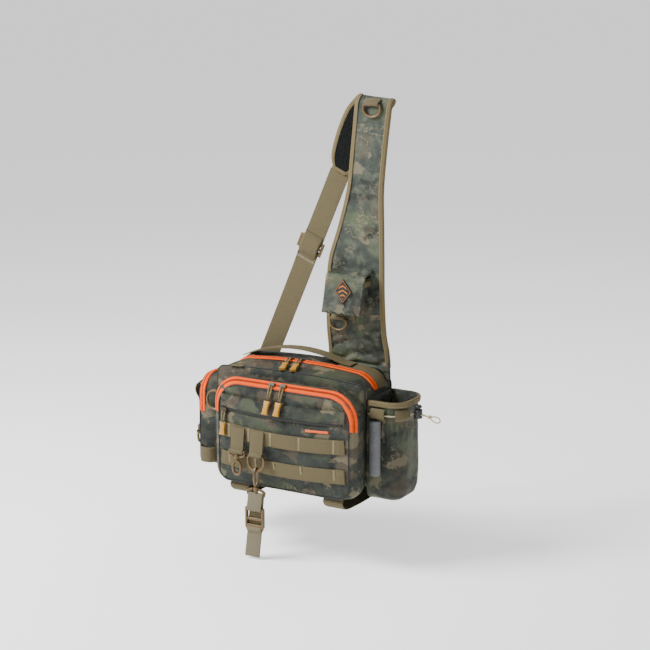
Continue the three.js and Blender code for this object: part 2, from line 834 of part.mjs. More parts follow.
// How far a pocket's gusset stands out at a depth behind its panel
function gussetOut(pocket, depth) {
  const rest = pocket.depth - pocket.zipBack;
  const rows = pocketRows.map((row) => ({ depth: row.back * pocket.zipBack + row.rest * rest, out: row.out }));
  const next = Math.max(rows.findIndex((row) => row.depth >= depth), 1);
  const [near, far] = [rows[next - 1], rows[next]];
  return (near.out + ((far.out - near.out) * (depth - near.depth)) / (far.depth - near.depth)) * pocket.zipOut;
}

function rodLoop() {
  const middle = mainStart - rodLoopWidth / 2 - 4;
  const line = rodRows.map((row) => {
    const x = middle + row.along * rodLoopWidth;
    const gusset = sideFrame.position.y - sideSpan - gussetOut(sidePocketShape, x - sideFrame.position.x);
    return [x, gusset - 1.6 * gap - row.out * rodLoopReach];
  });
  const strip = place("rod_loop", ribbon(line, webThickness, rodLoopHeight), webbing);
  strip.position.z = rodLoopFoot + rodLoopHeight / 2;
}

// Bottle pocket: an open shell against the right end. Rows follow its height; draw is the share of the corner
// radius that the three free sides are drawn in by.
const bottleRows = [
  { at: 0, draw: 0.75 },
  { at: 0.012, draw: 0.45 },
  { at: 0.05, draw: 0.18 },
  { at: 0.13, draw: 0.03 },
  { at: 0.32, draw: 0 },
  { at: 0.72, draw: 0 },
  { at: 0.86, draw: 0.06 },
  { at: 0.93, draw: 0.03 },
  { at: 1, draw: 0 },
];
const bottleFront = mainFront + bottleInset;
const bottleStart = mainEnd + gap;
const bottleHeight = bottleRim - bottleFloor;
const bottleSide = bottleWidth - bottleRadius;
const bottleArc = (Math.PI / 2) * bottleRadius;
const bottleEnd = bottleSpan - 2 * bottleRadius;
const bottleGirth = 2 * bottleSide + 2 * bottleArc + bottleEnd;

function bottlePoint(share, offset) {
  let distance = share * bottleGirth;
  const turn = (length) => {
    const used = THREE.MathUtils.clamp(distance, 0, length);
    distance -= length;
    return used;
  };
  const first = turn(bottleSide);
  const arcOne = turn(bottleArc) / bottleRadius;
  const end = turn(bottleEnd);
  const arcTwo = turn(bottleArc) / bottleRadius;
  const last = turn(bottleSide);
  const angle = arcOne + arcTwo;
  const normal = [Math.sin(angle), -Math.cos(angle)];
  const x = bottleStart + first - last + bottleRadius * Math.sin(arcOne) - bottleRadius * (1 - Math.cos(arcTwo));
  const y = bottleFront + bottleRadius * (1 - Math.cos(arcOne)) + end + bottleRadius * Math.sin(arcTwo);
  return [x + normal[0] * offset, y + normal[1] * offset];
}

function bottleDraw(z) {
  const share = THREE.MathUtils.clamp((z - bottleFloor) / bottleHeight, 0, 1);
  const next = Math.max(bottleRows.findIndex((row) => row.at >= share), 1);
  const [low, high] = [bottleRows[next - 1], bottleRows[next]];
  return (low.draw + ((high.draw - low.draw) * (share - low.at)) / (high.at - low.at)) * bottleRadius;
}

const bottleStations = () => {
  const shares = [];
  const side = bottleSide / bottleGirth;
  const arc = bottleArc / bottleGirth;
  const end = bottleEnd / bottleGirth;
  for (let i = 0; i < 2; i++) shares.push((side * i) / 2);
  for (let i = 0; i < 5; i++) shares.push(side + (arc * i) / 5);
  for (let i = 0; i < 2; i++) shares.push(side + arc + (end * i) / 2);
  for (let i = 0; i < 5; i++) shares.push(side + arc + end + (arc * i) / 5);
  for (let i = 0; i <= 2; i++) shares.push(side + 2 * arc + end + (side * i) / 2);
  return shares;
};

// A band round the free sides: profile points hold an offset from the cloth and a height
function bottleBand(profile, from, to, steps) {
  const rings = [];
  for (let i = 0; i <= steps; i++) {
    const share = from + ((to - from) * i) / steps;
    rings.push(
      profile.map(([offset, z]) => {
        const [x, y] = bottlePoint(share, offset - bottleDraw(z));
        return new THREE.Vector3(x, y, z);
      }),
    );
  }
  return loft(rings, false, profile.map(([offset, z]) => new THREE.Vector2(offset, z)));
}

const tunnelSpans = [[0.045, 0.18], [0.268, 0.402], [0.82, 0.955]];

function bottlePocket() {
  const shell = (inset, lowest, highest) => {
    const rings = bottleRows.map((row) => {
      const z = Math.min(Math.max(bottleFloor + row.at * bottleHeight, lowest), highest);
      const reach = row.at === 1 ? highest : z;
      return bottleStations().map((share, i, all) => {
        const [x, y] = bottlePoint(share, -inset - row.draw * bottleRadius);
        const atEnd = i === 0 || i === all.length - 1;
        return new THREE.Vector3(atEnd ? bottleStart + inset : Math.max(x, bottleStart + inset), y, reach);
      });
    });
    return toSolid(loft(rings));
  };
  const inner = shell(wall, bottleFloor + wall, bottleRim + wall);
  place("bottle_pocket", toGeometry(shell(0, bottleFloor, bottleRim).subtract(inner)), cloth);
  const low = bottleRim - bindingHeight;
  const rimProfile = [
    [skinGap, low],
    [skinGap + webThickness, low],
    [skinGap + webThickness, bottleRim],
    [skinGap, bottleRim],
  ];
  place("bottle_binding", bottleBand(rimProfile, 0.02, 0.98, 26), webbing);
  const room = skinGap + cordDiameter + 3 * gap;
  const top = low - gap;
  const foot = top - tunnelDrop;
  const tunnelProfile = [
    [skinGap, foot],
    [room + webThickness, foot + 4],
    [room + webThickness, top - 4],
    [skinGap + webThickness, top],
    [skinGap, top],
    [skinGap, top - 2],
    [room, top - 5],
    [room, foot + 5],
    [skinGap, foot + 2],
  ];
  tunnelSpans.forEach(([from, to], i) => {
    place("cord_tunnel_" + (i + 1), bottleBand(tunnelProfile, from, to, 5), webbing);
  });
}

// Drawcord: both ends are sewn at the compartment's side, run through the tunnels and the cord lock, and meet
// in a knot with a loop beyond it.
const lockMiddle = { x: bottleStart + bottleWidth + 13, y: bottleFront + 35 };
const laneHalf = 1.6;
const slotHalf = 3.2;

function drawcord() {
  const offset = skinGap + cordDiameter / 2 + gap;
  const at = (share) => {
    const [x, y] = bottlePoint(share, offset - bottleDraw(cordHeight));
    return new THREE.Vector3(x, y, cordHeight);
  };
  const points = [0.012, 0.1, 0.17, 0.23, 0.28, 0.33, 0.38].map(at);
  const lane = (side, steps) => steps.map(([x, dy, dz]) => new THREE.Vector3(x, lockMiddle.y + side * dy, cordHeight + dz));
  const out = [
    [lockMiddle.x - 8, laneHalf, 0],
    [lockMiddle.x, laneHalf, 0],
    [lockMiddle.x + 8, laneHalf, 0],
    [lockMiddle.x + 21, laneHalf, -1.5],
    [lockMiddle.x + 28, laneHalf * 2, -3],
    [lockMiddle.x + 36, laneHalf * 2.4, -5.5],
  ];
  points.push(...lane(-1, out));
  points.push(new THREE.Vector3(lockMiddle.x + 40, lockMiddle.y, cordHeight - 7));
  points.push(...lane(1, [...out].reverse()));
  points.push(...[0.6, 0.66, 0.72, 0.78, 0.85, 0.92, 0.988].map(at));
  const curve = new THREE.CatmullRomCurve3(points, false, "centripetal");
  const section = new THREE.Shape();
  section.absarc(0, 0, cordDiameter / 2, 0, 2 * Math.PI, false);
  const cord = new THREE.ExtrudeGeometry(section, { extrudePath: curve, steps: 72, curveSegments: 4 });
  const knot = new THREE.SphereGeometry(3.2, 8, 6);
  knot.translate(lockMiddle.x + 21, lockMiddle.y, cordHeight - 1.5);
  place("drawcord", toGeometry(toSolid(cord).add(toSolid(knot))), cream);
}

function cordLock() {
  const group = new THREE.Group();
  group.position.set(lockMiddle.x, lockMiddle.y, cordHeight);
  bag.add(group);
  const below = lockHeight * 0.4;
  const above = lockHeight - below;
  const body = new THREE.CylinderGeometry(lockRadius, lockRadius, lockHeight, 14).rotateX(Math.PI / 2);
  body.translate(0, 0, above - lockHeight / 2);
  const slot = box([-2 * lockRadius, -slotHalf, -cordDiameter * 0.7], [2 * lockRadius, slotHalf, cordDiameter * 0.7]);
  const boreFoot = cordDiameter * 0.7 + 1.2;
  const boreRadius = 3.6;
  const bore = new THREE.CylinderGeometry(boreRadius, boreRadius, 20, 12).rotateX(Math.PI / 2);
  bore.translate(0, 0, boreFoot + 10);
  place("cord_lock_barrel", toGeometry(cut(toSolid(body), slot, bore)), black, group);
  const stem = boreRadius - gap;
  const cap = lockRadius * 0.86;
  const stemFoot = boreFoot + plungerTravel + gap;
  const capFoot = above + plungerTravel + gap;
  const profile = [
    [0, stemFoot],
    [stem, stemFoot],
    [stem, capFoot],
    [cap, capFoot],
    [cap, capFoot + 3.5],
    [cap * 0.7, capFoot + 5],
    [0, capFoot + 5],
  ].map(([r, z]) => new THREE.Vector2(r, z));
  place("cord_lock_plunger", new THREE.LatheGeometry(profile, 12).rotateX(Math.PI / 2), black, group);
}

// Tool sleeve: a D tube, open at both ends, flat side on the bottle pocket's front
function toolSleeve() {
  const arc = (shape, width, depth, back) => {
    const points = [];
    for (let i = 0; i <= 8; i++) {
      const angle = Math.PI + (Math.PI * i) / 8;
      points.push(new THREE.Vector2((width / 2) * Math.cos(angle), -back + depth * Math.sin(angle)));
    }
    return shape ? new THREE.Shape(points) : new THREE.Path(points.reverse());
  };
  const thin = 1.4;
  const outer = arc(true, sleeveWidth, sleeveDepth, 0);
  outer.holes.push(arc(false, sleeveWidth - 2 * thin, sleeveDepth - 2 * thin, thin));
  const tube = new THREE.ExtrudeGeometry(outer, { depth: sleeveHeight, bevelEnabled: false });
  const mesh = place("tool_sleeve", tube, grey);
  mesh.position.set(bottleStart + sleeveWidth / 2 + 6.5, bottleFront - skinGap, sleeveFoot);
}

// Shoulder strap. Rows run from the bag up the front, over the top fold and down the rear part: z and back
// place the middle line, left and right are its edges, and lean turns the width downwards, in degrees.
const padRows = [
  { z: 226, back: 134, left: 140, right: 257, lean: 0 },
  { z: 260, back: 128, left: 140, right: 254, lean: 0 },
  { z: 318, back: 125, left: 141, right: 252, lean: 0 },
  { z: 377, back: 125, left: 145, right: 251, lean: 0 },
  { z: 435, back: 125, left: 163, right: 250, lean: 0 },
  { z: 500, back: 125, left: 180, right: 249, lean: 0 },
  { z: 564, back: 125, left: 187, right: 254, lean: 0 },
  { z: 625, back: 125, left: 193, right: 261, lean: 0 },
];
const foldRows = [
  { turn: 25, left: 194, right: 263, lean: 0 },
  { turn: 60, left: 194, right: 263, lean: 2 },
  { turn: 90, left: 192, right: 262, lean: 4 },
  { turn: 120, left: 188, right: 258, lean: 8 },
  { turn: 155, left: 180, right: 249, lean: 14 },
];
const rearRows = [
  { z: 619, middle: 192, half: 32.5, lean: 20 },
  { z: 585, middle: 175, half: 31.5, lean: 24 },
  { z: 556, middle: 163, half: 29, lean: 24 },
  { z: 538, middle: 156, half: 24, lean: 24 },
  { z: 527, middle: 151.5, half: 15, lean: 24 },
];
const padSteps = 6;
const foldRadius = foldGap / 2;
const foldMiddle = strapHeight - foldRadius - padThickness / 2;

function strapPad() {
  const rings = [];
  const ring = (middle, across, outward) => {
    const front = [];
    const back = [];
    for (let i = 0; i <= padSteps; i++) {
      const side = (2 * i) / padSteps - 1;
      const edge = Math.abs(side) === 1 ? 0.55 : 1;
      const point = middle.clone().addScaledVector(across, side);
      front.push(point.clone().addScaledVector(outward, (edge * padThickness) / 2));
      back.push(point.clone().addScaledVector(outward, (-edge * padThickness) / 2));
    }
    rings.push([...front, ...back.reverse()]);
  };
  const base = padRows[0];
  const seat = mainBack - 8;
  const footFront = [];
  const footBack = [];
  for (let i = 0; i <= padSteps; i++) {
    const x = base.left + ((base.right - base.left) * i) / padSteps;
    const thin = i === 0 || i === padSteps ? 0.55 : 1;
    const half = (thin * padThickness) / 2;
    const top = Math.max(topAt(x, seat - padThickness), topAt(x, seat + padThickness));
    const z = Math.max(top, mainHeight) + gap + 0.1;
    footFront.push(new THREE.Vector3(x, seat - half, z));
    footBack.push(new THREE.Vector3(x, seat + half, z));
  }
  rings.push([...footFront, ...footBack.reverse()]);
  for (const row of padRows) {
    const middle = new THREE.Vector3((row.left + row.right) / 2, row.back, row.z);
    ring(middle, new THREE.Vector3((row.right - row.left) / 2, 0, 0), new THREE.Vector3(0, -1, 0));
  }
  for (const row of foldRows) {
    const turn = rad(row.turn);
    const lean = rad(row.lean);
    const half = (row.right - row.left) / 2;
    const middle = new THREE.Vector3(
      (row.left + row.right) / 2,
      padBack + foldRadius - foldRadius * Math.cos(turn),
      foldMiddle + foldRadius * Math.sin(turn),
    );
    const outward = new THREE.Vector3(0, -Math.cos(turn), Math.sin(turn));
    ring(middle, new THREE.Vector3(half * Math.cos(lean), 0, -half * Math.sin(lean)), outward);
  }
  for (const row of rearRows) {
    const lean = rad(row.lean);
    const middle = new THREE.Vector3(row.middle, padBack + foldGap, row.z);
    const across = new THREE.Vector3(row.half * Math.cos(lean), 0, -row.half * Math.sin(lean));
    ring(middle, across, new THREE.Vector3(0, 1, 0));
  }
  place("strap_pad", loft(rings), cloth);
}

// The rear webbing runs straight from the pad's end to the back of the bag, through the slide adjuster
const webStart = new THREE.Vector3(149, padBack + foldGap, 522);
const webFoot = new THREE.Vector3(4, mainBack + gap + webThickness / 2, mainHeight - 16);

function strapWebbing() {
  const along = new THREE.Vector3().subVectors(webFoot, webStart);
  const length = along.length();
  along.normalize();
  const across = new THREE.Vector3(along.z, 0, -along.x).normalize();
  const front = new THREE.Vector3().crossVectors(across, along);
  const group = new THREE.Group();
  group.matrix.makeBasis(along, front, across).setPosition(webStart);
  group.matrix.decompose(group.position, group.quaternion, group.scale);
  bag.add(group);
  const bar = 3.5;
  const thick = 3.5;
  const stand = thick / 2 + gap + webThickness / 2;
  const low = glidePlace - glideHeight / 2 + bar + 0.7;
  const high = glidePlace - bar / 2 - 0.6;
  const line = [
    [0, 0],
    [low, 0],
    [high, 2 * stand],
    [2 * glidePlace - high, 2 * stand],
    [2 * glidePlace - low, 0],
    [length, 0],
  ];
  place("strap_webbing", ribbon(line, webThickness, wideWeb), webbing, group);
  const half = glideWidth / 2;
  const body = box([-glideHeight / 2, stand - thick / 2, -half], [glideHeight / 2, stand + thick / 2, half]);
  const slotHalfWidth = wideWeb / 2 + 1;
  const slotLength = (glideHeight - 3 * bar) / 2;
  const slots = [-1, 1].map((side) => {
    const edge = (side * (bar + slotLength)) / 2;
    return box([edge - slotLength / 2, -10, -slotHalfWidth], [edge + slotLength / 2, 20, slotHalfWidth]);
  });
  const glide = place("tri_glide", toGeometry(cut(toSolid(body), ...slots)), moulded, group);
  glide.position.x = glidePlace;
}

// Front of the pad at a height
function padFace(z) {
  if (z >= padRows.at(-1).z) return padBack - padThickness / 2;
  const next = Math.max(padRows.findIndex((row) => row.z >= z), 1);
  const [low, high] = [padRows[next - 1], padRows[next]];
  return low.back + ((high.back - low.back) * (z - low.z)) / (high.z - low.z) - padThickness / 2;
}

// A ring hangs from a tab on the pad's front. Above the fold's middle the tab leans back along the fold.
function strapRing(name, x, z, reach) {
  const rise = Math.max(z - foldMiddle, 0);
  const seat = foldRadius + padThickness / 2 + gap;
  const stand = seat + foldOuter;
  const back = rise > 0 ? padBack + foldRadius - Math.sqrt(stand ** 2 - rise ** 2) : padFace(z) - gap - foldOuter;
  const group = new THREE.Group();
  group.position.set(x, back, z);
  bag.add(group);
  const lean = rise > 0 ? 0 : (padFace(z + reach) - gap - stripHalf - back) / reach;
  const tab = place(name + "_tab", standingTab(wire, reach, narrowWeb, lean), webbing, group);
  if (rise > 0) {
    const touch = Math.asin((seat + stripHalf) / stand) - Math.asin(rise / stand);
    tab.rotation.x = touch - Math.PI / 2;
  }
  place(name, bowRing(strapRingWidth, strapRingHeight), moulded, group);
}

const pouchMiddle = 186;
const pouchLean = 0.12;
const pouchWall = 1.6;
const flapFlare = 0.8;
const upperRingPlace = 229;
const upperRingBar = 645;
const lowerRingPlace = 166;
const lowerRingBar = 279;
const ringTabReach = 11;

// Strap pouch: an open-topped body under a flap. The group leans with the strap.
function strapPouch() {
  const face = padFace(pouchFoot + pouchHeight / 2) - skinGap;
  const half = pouchWidth / 2 - 3;
  const body = (inset, rise) => {
    const outline = roundedOutline({
      left: -half + inset,
      right: half - inset,
      bottom: -pouchDepth + inset,
      top: -inset,
      lower: 7 - inset,
      upper: 2,
      steps: 3,
      across: 2,
    });
    const shape = new THREE.Shape(outline.map(([x, y]) => new THREE.Vector2(x, y)));
    return new THREE.ExtrudeGeometry(shape, { depth: pouchHeight, bevelEnabled: false }).translate(0, 0, rise);
  };
  const shell = toGeometry(cut(toSolid(body(0, 0)), body(pouchWall, pouchWall)));
  const group = new THREE.Group();
  group.position.set(pouchMiddle, face, pouchFoot);
  bag.add(group);
  place("strap_pouch", shear(shell, "x", "z", pouchLean), cloth, group);
  const out = pouchDepth + gap + wall / 2 + 0.3;
  const line = [
    [-wall / 2 - 0.2, pouchHeight + 14],
    [-4, pouchHeight + 9],
    [-out * 0.6, pouchHeight + 7],
    [-out * 0.9, pouchHeight + 5],
    [-out - 0.7, pouchHeight - 1],
    [-out - 1.5, pouchHeight * 0.4],
    [-out - 2.5, 0],
  ];
  const flap = ribbonOf(line, pouchWidth, wall);
  place("pouch_flap", shear(flap, "x", "z", pouchLean), cloth, group);
  const badge = new THREE.Shape();
  badge.moveTo(0, -badgeHeight / 2);
  badge.lineTo(badgeWidth / 2, 0);
  badge.lineTo(0, badgeHeight / 2);
  badge.lineTo(-badgeWidth / 2, 0);
  badge.closePath();
  const plate = new THREE.ExtrudeGeometry(badge, { depth: 2.2, bevelEnabled: false }).rotateX(Math.PI / 2);
  const tilt = flapFlare / (pouchHeight * 0.6);
  const mesh = place("pouch_badge", shear(plate, "y", "z", tilt), black, group);
  mesh.position.set(pouchLean * badgeRise, -out - 1.3 - wall / 2 - gap, badgeRise);
  const sideTab = box([0, -pouchDepth * 0.92, 0], [webThickness, -1.5, 10]);
  const tab = place("pouch_side_tab", sideTab, webbing, group);
  const tabRise = 48;
  tab.position.set(half + gap + 10 * pouchLean + pouchLean * tabRise, 0, tabRise);
  const lowTab = box([-6, -webThickness, 0], [6, 0, 14]);
  const low = place("pouch_lower_tab", lowTab, webbing, group);
  low.position.set(6, padFace(pouchFoot) - gap - face, -16);
}
const badgeRise = 40;

// Every zip pull has one form: a slider with a lug, and a cord loop with a moulded grip
const lugRadius = 2.3;
const lugWire = 0.7;
const lugBack = sliderWidth / 2 + lugRadius * 0.5;
const lugRise = lugRadius + lugWire + 0.1;
const loopHalf = 2.8;
const cordReach = 27;

function sliderForm() {
  const body = box([-sliderLength / 2, -sliderWidth / 2, 0], [sliderLength / 2, sliderWidth / 2, sliderThickness]);
  const points = [];
  for (let i = 0; i < 8; i++) {
    const angle = (2 * Math.PI * (i + 0.5)) / 8;
    points.push(new THREE.Vector3(0, lugRadius * Math.cos(angle) - lugBack, lugRise + lugRadius * Math.sin(angle)));
  }
  const lug = wireRing(points, lugWire, new THREE.Vector3(1, 0, 0), true, 5);
  return toGeometry(toSolid(body).add(toSolid(lug)));
}

// The pull hangs to local -Z from the middle of the lug
function pullForm(reach) {
  const points = [];
  const radius = pullCord / 2;
  for (let i = 0; i <= 6; i++) {
    const angle = (Math.PI * i) / 6;
    points.push(new THREE.Vector3(loopHalf * Math.cos(angle), 0, loopHalf * (Math.sin(angle) - 1)));
  }
  points.push(new THREE.Vector3(-radius * 1.1, 0, -reach), new THREE.Vector3(radius * 1.1, 0, -reach));
  const loop = wireRing(points, radius, new THREE.Vector3(0, 1, 0));
  const shape = new THREE.Shape();
  const half = gripWidth / 2;
  const waist = half * 0.62;
  shape.moveTo(-half, 0);
  shape.lineTo(half, 0);
  shape.quadraticCurveTo(waist * 0.75, -gripLength / 2, half, -gripLength);
  shape.lineTo(-half, -gripLength);
  shape.quadraticCurveTo(-waist * 0.75, -gripLength / 2, -half, 0);
  const grip = new THREE.ExtrudeGeometry(shape, { depth: gripThickness, bevelEnabled: false, curveSegments: 5 });
  grip.translate(0, 0, -gripThickness / 2).rotateX(Math.PI / 2).translate(0, 0, gripLength * 0.05 - reach);
  return toGeometry(toSolid(loop).add(toSolid(grip)));
}

// A slider stands at a point of the zip with its back on the tape. Its axes are along the zip, up the tape and
// outwards; the pull hangs from its lug towards a given direction.
function zipPull(number, point, outward, toward, reach = cordReach) {
  const along = new THREE.Vector3(1, 0, 0);
  const up = new THREE.Vector3().crossVectors(outward, along).normalize();
  const group = new THREE.Group();
  const seat = point.clone().addScaledVector(outward, skinGap);
  group.matrix.makeBasis(along, up, outward).setPosition(seat);
  group.matrix.decompose(group.position, group.quaternion, group.scale);
  bag.add(group);
  place("zip_slider_" + number, sliderForm(), steel, group);
  const eye = seat.clone();
  eye.addScaledVector(up, -lugBack);
  eye.addScaledVector(outward, lugRise);
  const down = toward.clone().normalize();
  const across = along.clone().addScaledVector(down, -along.dot(down)).normalize();
  const pull = new THREE.Group();
  pull.matrix.makeBasis(across, new THREE.Vector3().crossVectors(down.clone().negate(), across), down.clone().negate());
  pull.matrix.setPosition(eye);
  pull.matrix.decompose(pull.position, pull.quaternion, pull.scale);
  bag.add(pull);
  place("zip_pull_" + number, pullForm(reach), gripYellow, pull);
}

function zipPulls() {
  const slope = new THREE.Vector3(0, -frontZipOut, frontZipBack).normalize();
  const tape = new THREE.Vector3(0, frontZipBack * 0.45, frontHeight + frontZipOut * 0.62);
  for (const [number, x] of [[1, 105], [2, 127]]) {
    zipPull(number, tape.clone().setX(x), slope, new THREE.Vector3(-0.04, -0.4, -1));
  }
  const mainZipMiddle = mainFront + mainZipPlace;
  for (const [number, x] of [[3, 83], [4, 104]]) {
    const top = topAt(x, mainZipMiddle);
    const point = new THREE.Vector3(x, mainZipMiddle, top);
    zipPull(number, point, new THREE.Vector3(0, 0, 1), new THREE.Vector3(0.3, -1, -0.16));
  }
  const slotX = 13;
  const slotZ = flapFoot - 4.5 + sagAt(slotX);
  const point = new THREE.Vector3(slotX, frontAt(slotX, slotZ) - 1, slotZ);
  zipPull(5, point, new THREE.Vector3(0, -1, 0), new THREE.Vector3(-0.03, -0.05, -1), cordReach * 0.7);
}

mainCompartment();
frontCompartment();
frontWebbing();
hanger("hanger_left", hangerLeftPlace);
hanger("hanger_right", hangerRightPlace);
hangingHardware();
handle();
slings();
sidePocket();
sideWebbing();
sideRing();
rodLoop();
bottlePocket();
drawcord();
cordLock();
toolSleeve();
strapPad();
strapWebbing();
strapRing("strap_ring_upper", upperRingPlace, upperRingBar, ringTabReach);
strapRing("strap_ring_lower", lowerRingPlace, lowerRingBar, ringTabReach);
strapPouch();
zipPulls();

// The origin is under the strap's top fold, where a hook or a shoulder carries the bag
const shoulder = new THREE.Vector3(227, padBack + foldRadius, strapHeight - padThickness);
bag.position.copy(shoulder).negate();
const part = new THREE.Group();
part.add(bag);

export default part;
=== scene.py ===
# Fishing tackle sling bag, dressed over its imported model. Lengths in the dictionaries are millimetres in the bag's
# own frame: X to the right, Y to the back, Z up, zero at the front panel's lower left corner.
import bpy, bmesh, json, math
from mathutils import Vector, Matrix, noise


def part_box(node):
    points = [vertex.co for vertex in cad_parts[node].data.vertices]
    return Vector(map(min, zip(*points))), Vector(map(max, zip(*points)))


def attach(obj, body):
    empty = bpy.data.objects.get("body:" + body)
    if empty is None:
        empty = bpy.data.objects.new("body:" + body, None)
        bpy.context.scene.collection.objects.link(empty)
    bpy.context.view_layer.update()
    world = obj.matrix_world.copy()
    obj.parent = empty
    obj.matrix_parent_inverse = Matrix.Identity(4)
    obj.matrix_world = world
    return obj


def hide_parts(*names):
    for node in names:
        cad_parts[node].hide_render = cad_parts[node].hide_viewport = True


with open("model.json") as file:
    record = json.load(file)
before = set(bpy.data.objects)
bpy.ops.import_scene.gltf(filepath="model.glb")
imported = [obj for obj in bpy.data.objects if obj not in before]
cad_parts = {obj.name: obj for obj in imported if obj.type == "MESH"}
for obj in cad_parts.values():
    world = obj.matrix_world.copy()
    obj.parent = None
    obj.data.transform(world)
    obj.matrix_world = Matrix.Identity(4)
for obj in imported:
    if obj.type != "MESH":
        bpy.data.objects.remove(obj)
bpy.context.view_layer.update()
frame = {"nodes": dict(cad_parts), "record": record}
strapFold = Vector((227, 140, 649))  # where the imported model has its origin


def at(x, y, z):
    return (Vector((x, y, z)) - strapFold) / 1000


def held(value, low=0, high=1):
    return min(max(value, low), high)


def bell(far, width):
    return math.exp(-(far / width) ** 2)


def addObject(name, data):
    obj = bpy.data.objects.new(name, data)
    bpy.context.scene.collection.objects.link(obj)
    return obj


# focal, image and the bag corner's place in the picture are in pixels
view = dict(azimuth=30, pitch=13, focal=1800, image=650, distance=3103, pixelX=219.9, pixelY=478)


def makeCamera():
    a, e = math.radians(view["azimuth"]), math.radians(view["pitch"])
    along = Vector((-math.sin(a) * math.cos(e), math.cos(a) * math.cos(e), -math.sin(e)))
    right = Vector((math.cos(a), math.sin(a), 0))
    up = right.cross(along)
    scale = view["distance"] / view["focal"]
    shiftX = (view["pixelX"] - view["image"] / 2) * scale
    shiftY = -(view["pixelY"] - view["image"] / 2) * scale
    centre = -along * view["distance"] - right * shiftX - up * shiftY
    data = bpy.data.cameras.new("photoCamera")
    data.lens = view["focal"] * data.sensor_width / view["image"]
    data.clip_end = 300
    camera = addObject("photoCamera", data)
    turn = Matrix((right, up, -along)).transposed().to_4x4()
    camera.matrix_world = Matrix.Translation((centre - strapFold) / 1000) @ turn
    bpy.context.scene.camera = camera


# drop is the floor's distance below the loose tail; each lamp has its place in metres, its size and its power
studio = dict(sky=0.4, drop=4, floorReach=60, paper=0.94, paperRough=0.9, glow=0.74, aim=(0, 0, -0.45), lamps=(
    ("keyLight", (-1.15, -1.0, 0.95), 0.8, 82),
    ("fillLight", (1.7, -1.2, 0.2), 1.8, 1.2),
    ("rimLight", (0.4, 1.6, 1.1), 1.4, 14),
))


def makeStudio():
    world = bpy.data.worlds.new("softRoom")
    world.use_nodes = True
    world.node_tree.nodes["Background"].inputs[0].default_value = (1, 1, 1, 1)
    world.node_tree.nodes["Background"].inputs[1].default_value = studio["sky"]
    bpy.context.scene.world = world
    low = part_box("ladder_tail")[0].z - studio["drop"] / 1000
    far = studio["floorReach"]
    mesh = bpy.data.meshes.new("floor")
    mesh.from_pydata([(-far, -far, low), (far, -far, low), (far, far, low), (-far, far, low)], [], [(0, 1, 2, 3)])
    addObject("floor", mesh)
    paper, kit = newMaterial("paleFloor")
    kit.fix("Base Color", (studio["paper"],) * 3 + (1,))
    kit.fix("Roughness", studio["paperRough"])
    kit.fix("Emission Color", (1, 1, 1, 1))
    kit.fix("Emission Strength", studio["glow"])
    mesh.materials.append(paper)
    for name, spot, size, power in studio["lamps"]:
        lamp = bpy.data.lights.new(name, "AREA")
        lamp.size = size
        lamp.energy = power
        light = addObject(name, lamp)
        light.location = spot
        light.rotation_euler = (Vector(studio["aim"]) - Vector(spot)).to_track_quat("-Z", "Y").to_euler()


# a socket that can be added, taken away, multiplied and divided
class Wire:
    def __init__(self, kit, socket):
        self.kit = kit
        self.socket = socket

    def join(self, kind, other, swap=False):
        pair = (other, self) if swap else (self, other)
        return self.kit.maths(kind, *pair)

    def __add__(self, other): return self.join("ADD", other)
    def __radd__(self, other): return self.join("ADD", other)
    def __sub__(self, other): return self.join("SUBTRACT", other)
    def __rsub__(self, other): return self.join("SUBTRACT", other, True)
    def __mul__(self, other): return self.join("MULTIPLY", other)
    def __truediv__(self, other): return self.join("DIVIDE", other)


class Kit:
    def __init__(self, tree):
        self.tree = tree
        self.shader = tree.nodes["Principled BSDF"]

    def plug(self, socket, value):
        if isinstance(value, Wire):
            self.tree.links.new(value.socket, socket)
        elif value is not None:
            socket.default_value = value

    def make(self, kind, settings=None, *values, out=0, **named):
        node = self.tree.nodes.new(kind)
        for key, value in (settings or {}).items():
            setattr(node, key, value)
        for socket, value in zip(node.inputs, values):
            self.plug(socket, value)
        for key, value in named.items():
            self.plug(node.inputs[key], value)
        return Wire(self, node.outputs[out])

    def maths(self, kind, *values):
        return self.make("ShaderNodeMath", dict(operation=kind), *values)

    def place(self):
        return self.make("ShaderNodeTexCoord", out=3)

    def split(self, vector):
        parts = self.make("ShaderNodeSeparateXYZ", None, vector)
        return [Wire(self, socket) for socket in parts.socket.node.outputs]

    def weaveUv(self):
        return self.split(self.make("ShaderNodeUVMap", dict(uv_map="cloth")))[:2]

    def stretched(self, vector, x, y, z):
        return self.make("ShaderNodeVectorMath", dict(operation="MULTIPLY"), vector, (x, y, z))

    def shifted(self, vector, far):
        return self.make("ShaderNodeVectorMath", dict(operation="ADD"), vector, far)

    def noise(self, vector, scale, detail=3, rough=0.5):
        return self.make("ShaderNodeTexNoise", None, Vector=vector, Scale=scale, Detail=detail, Roughness=rough)

    def band(self, value, low, high):
        return self.make(
            "ShaderNodeMapRange", dict(interpolation_type="SMOOTHSTEP"), value, low, high, 0.0, 1.0)

    def mix(self, share, first, second):
        node = self.tree.nodes.new("ShaderNodeMix")
        node.data_type = "RGBA"
        for socket, value in ((0, share), (6, first), (7, second)):
            self.plug(node.inputs[socket], value)
        return Wire(self, node.outputs[2])

    def wave(self, value):
        return self.maths("SINE", value)

    def bump(self, height, distance):
        made = self.make("ShaderNodeBump", None, Strength=1.0, Distance=distance, Height=height)
        self.plug(self.shader.inputs["Normal"], made)

    def colour(self, value):
        self.plug(self.shader.inputs["Base Color"], value)

    def rough(self, value):
        self.plug(self.shader.inputs["Roughness"], value)

    def fix(self, socket, value):
        self.shader.inputs[socket].default_value = value

    def dull(self, value):
        self.fix("Specular IOR Level", value)


def newMaterial(name):
    material = bpy.data.materials.new(name)
    material.use_nodes = True
    return material, Kit(material.node_tree)


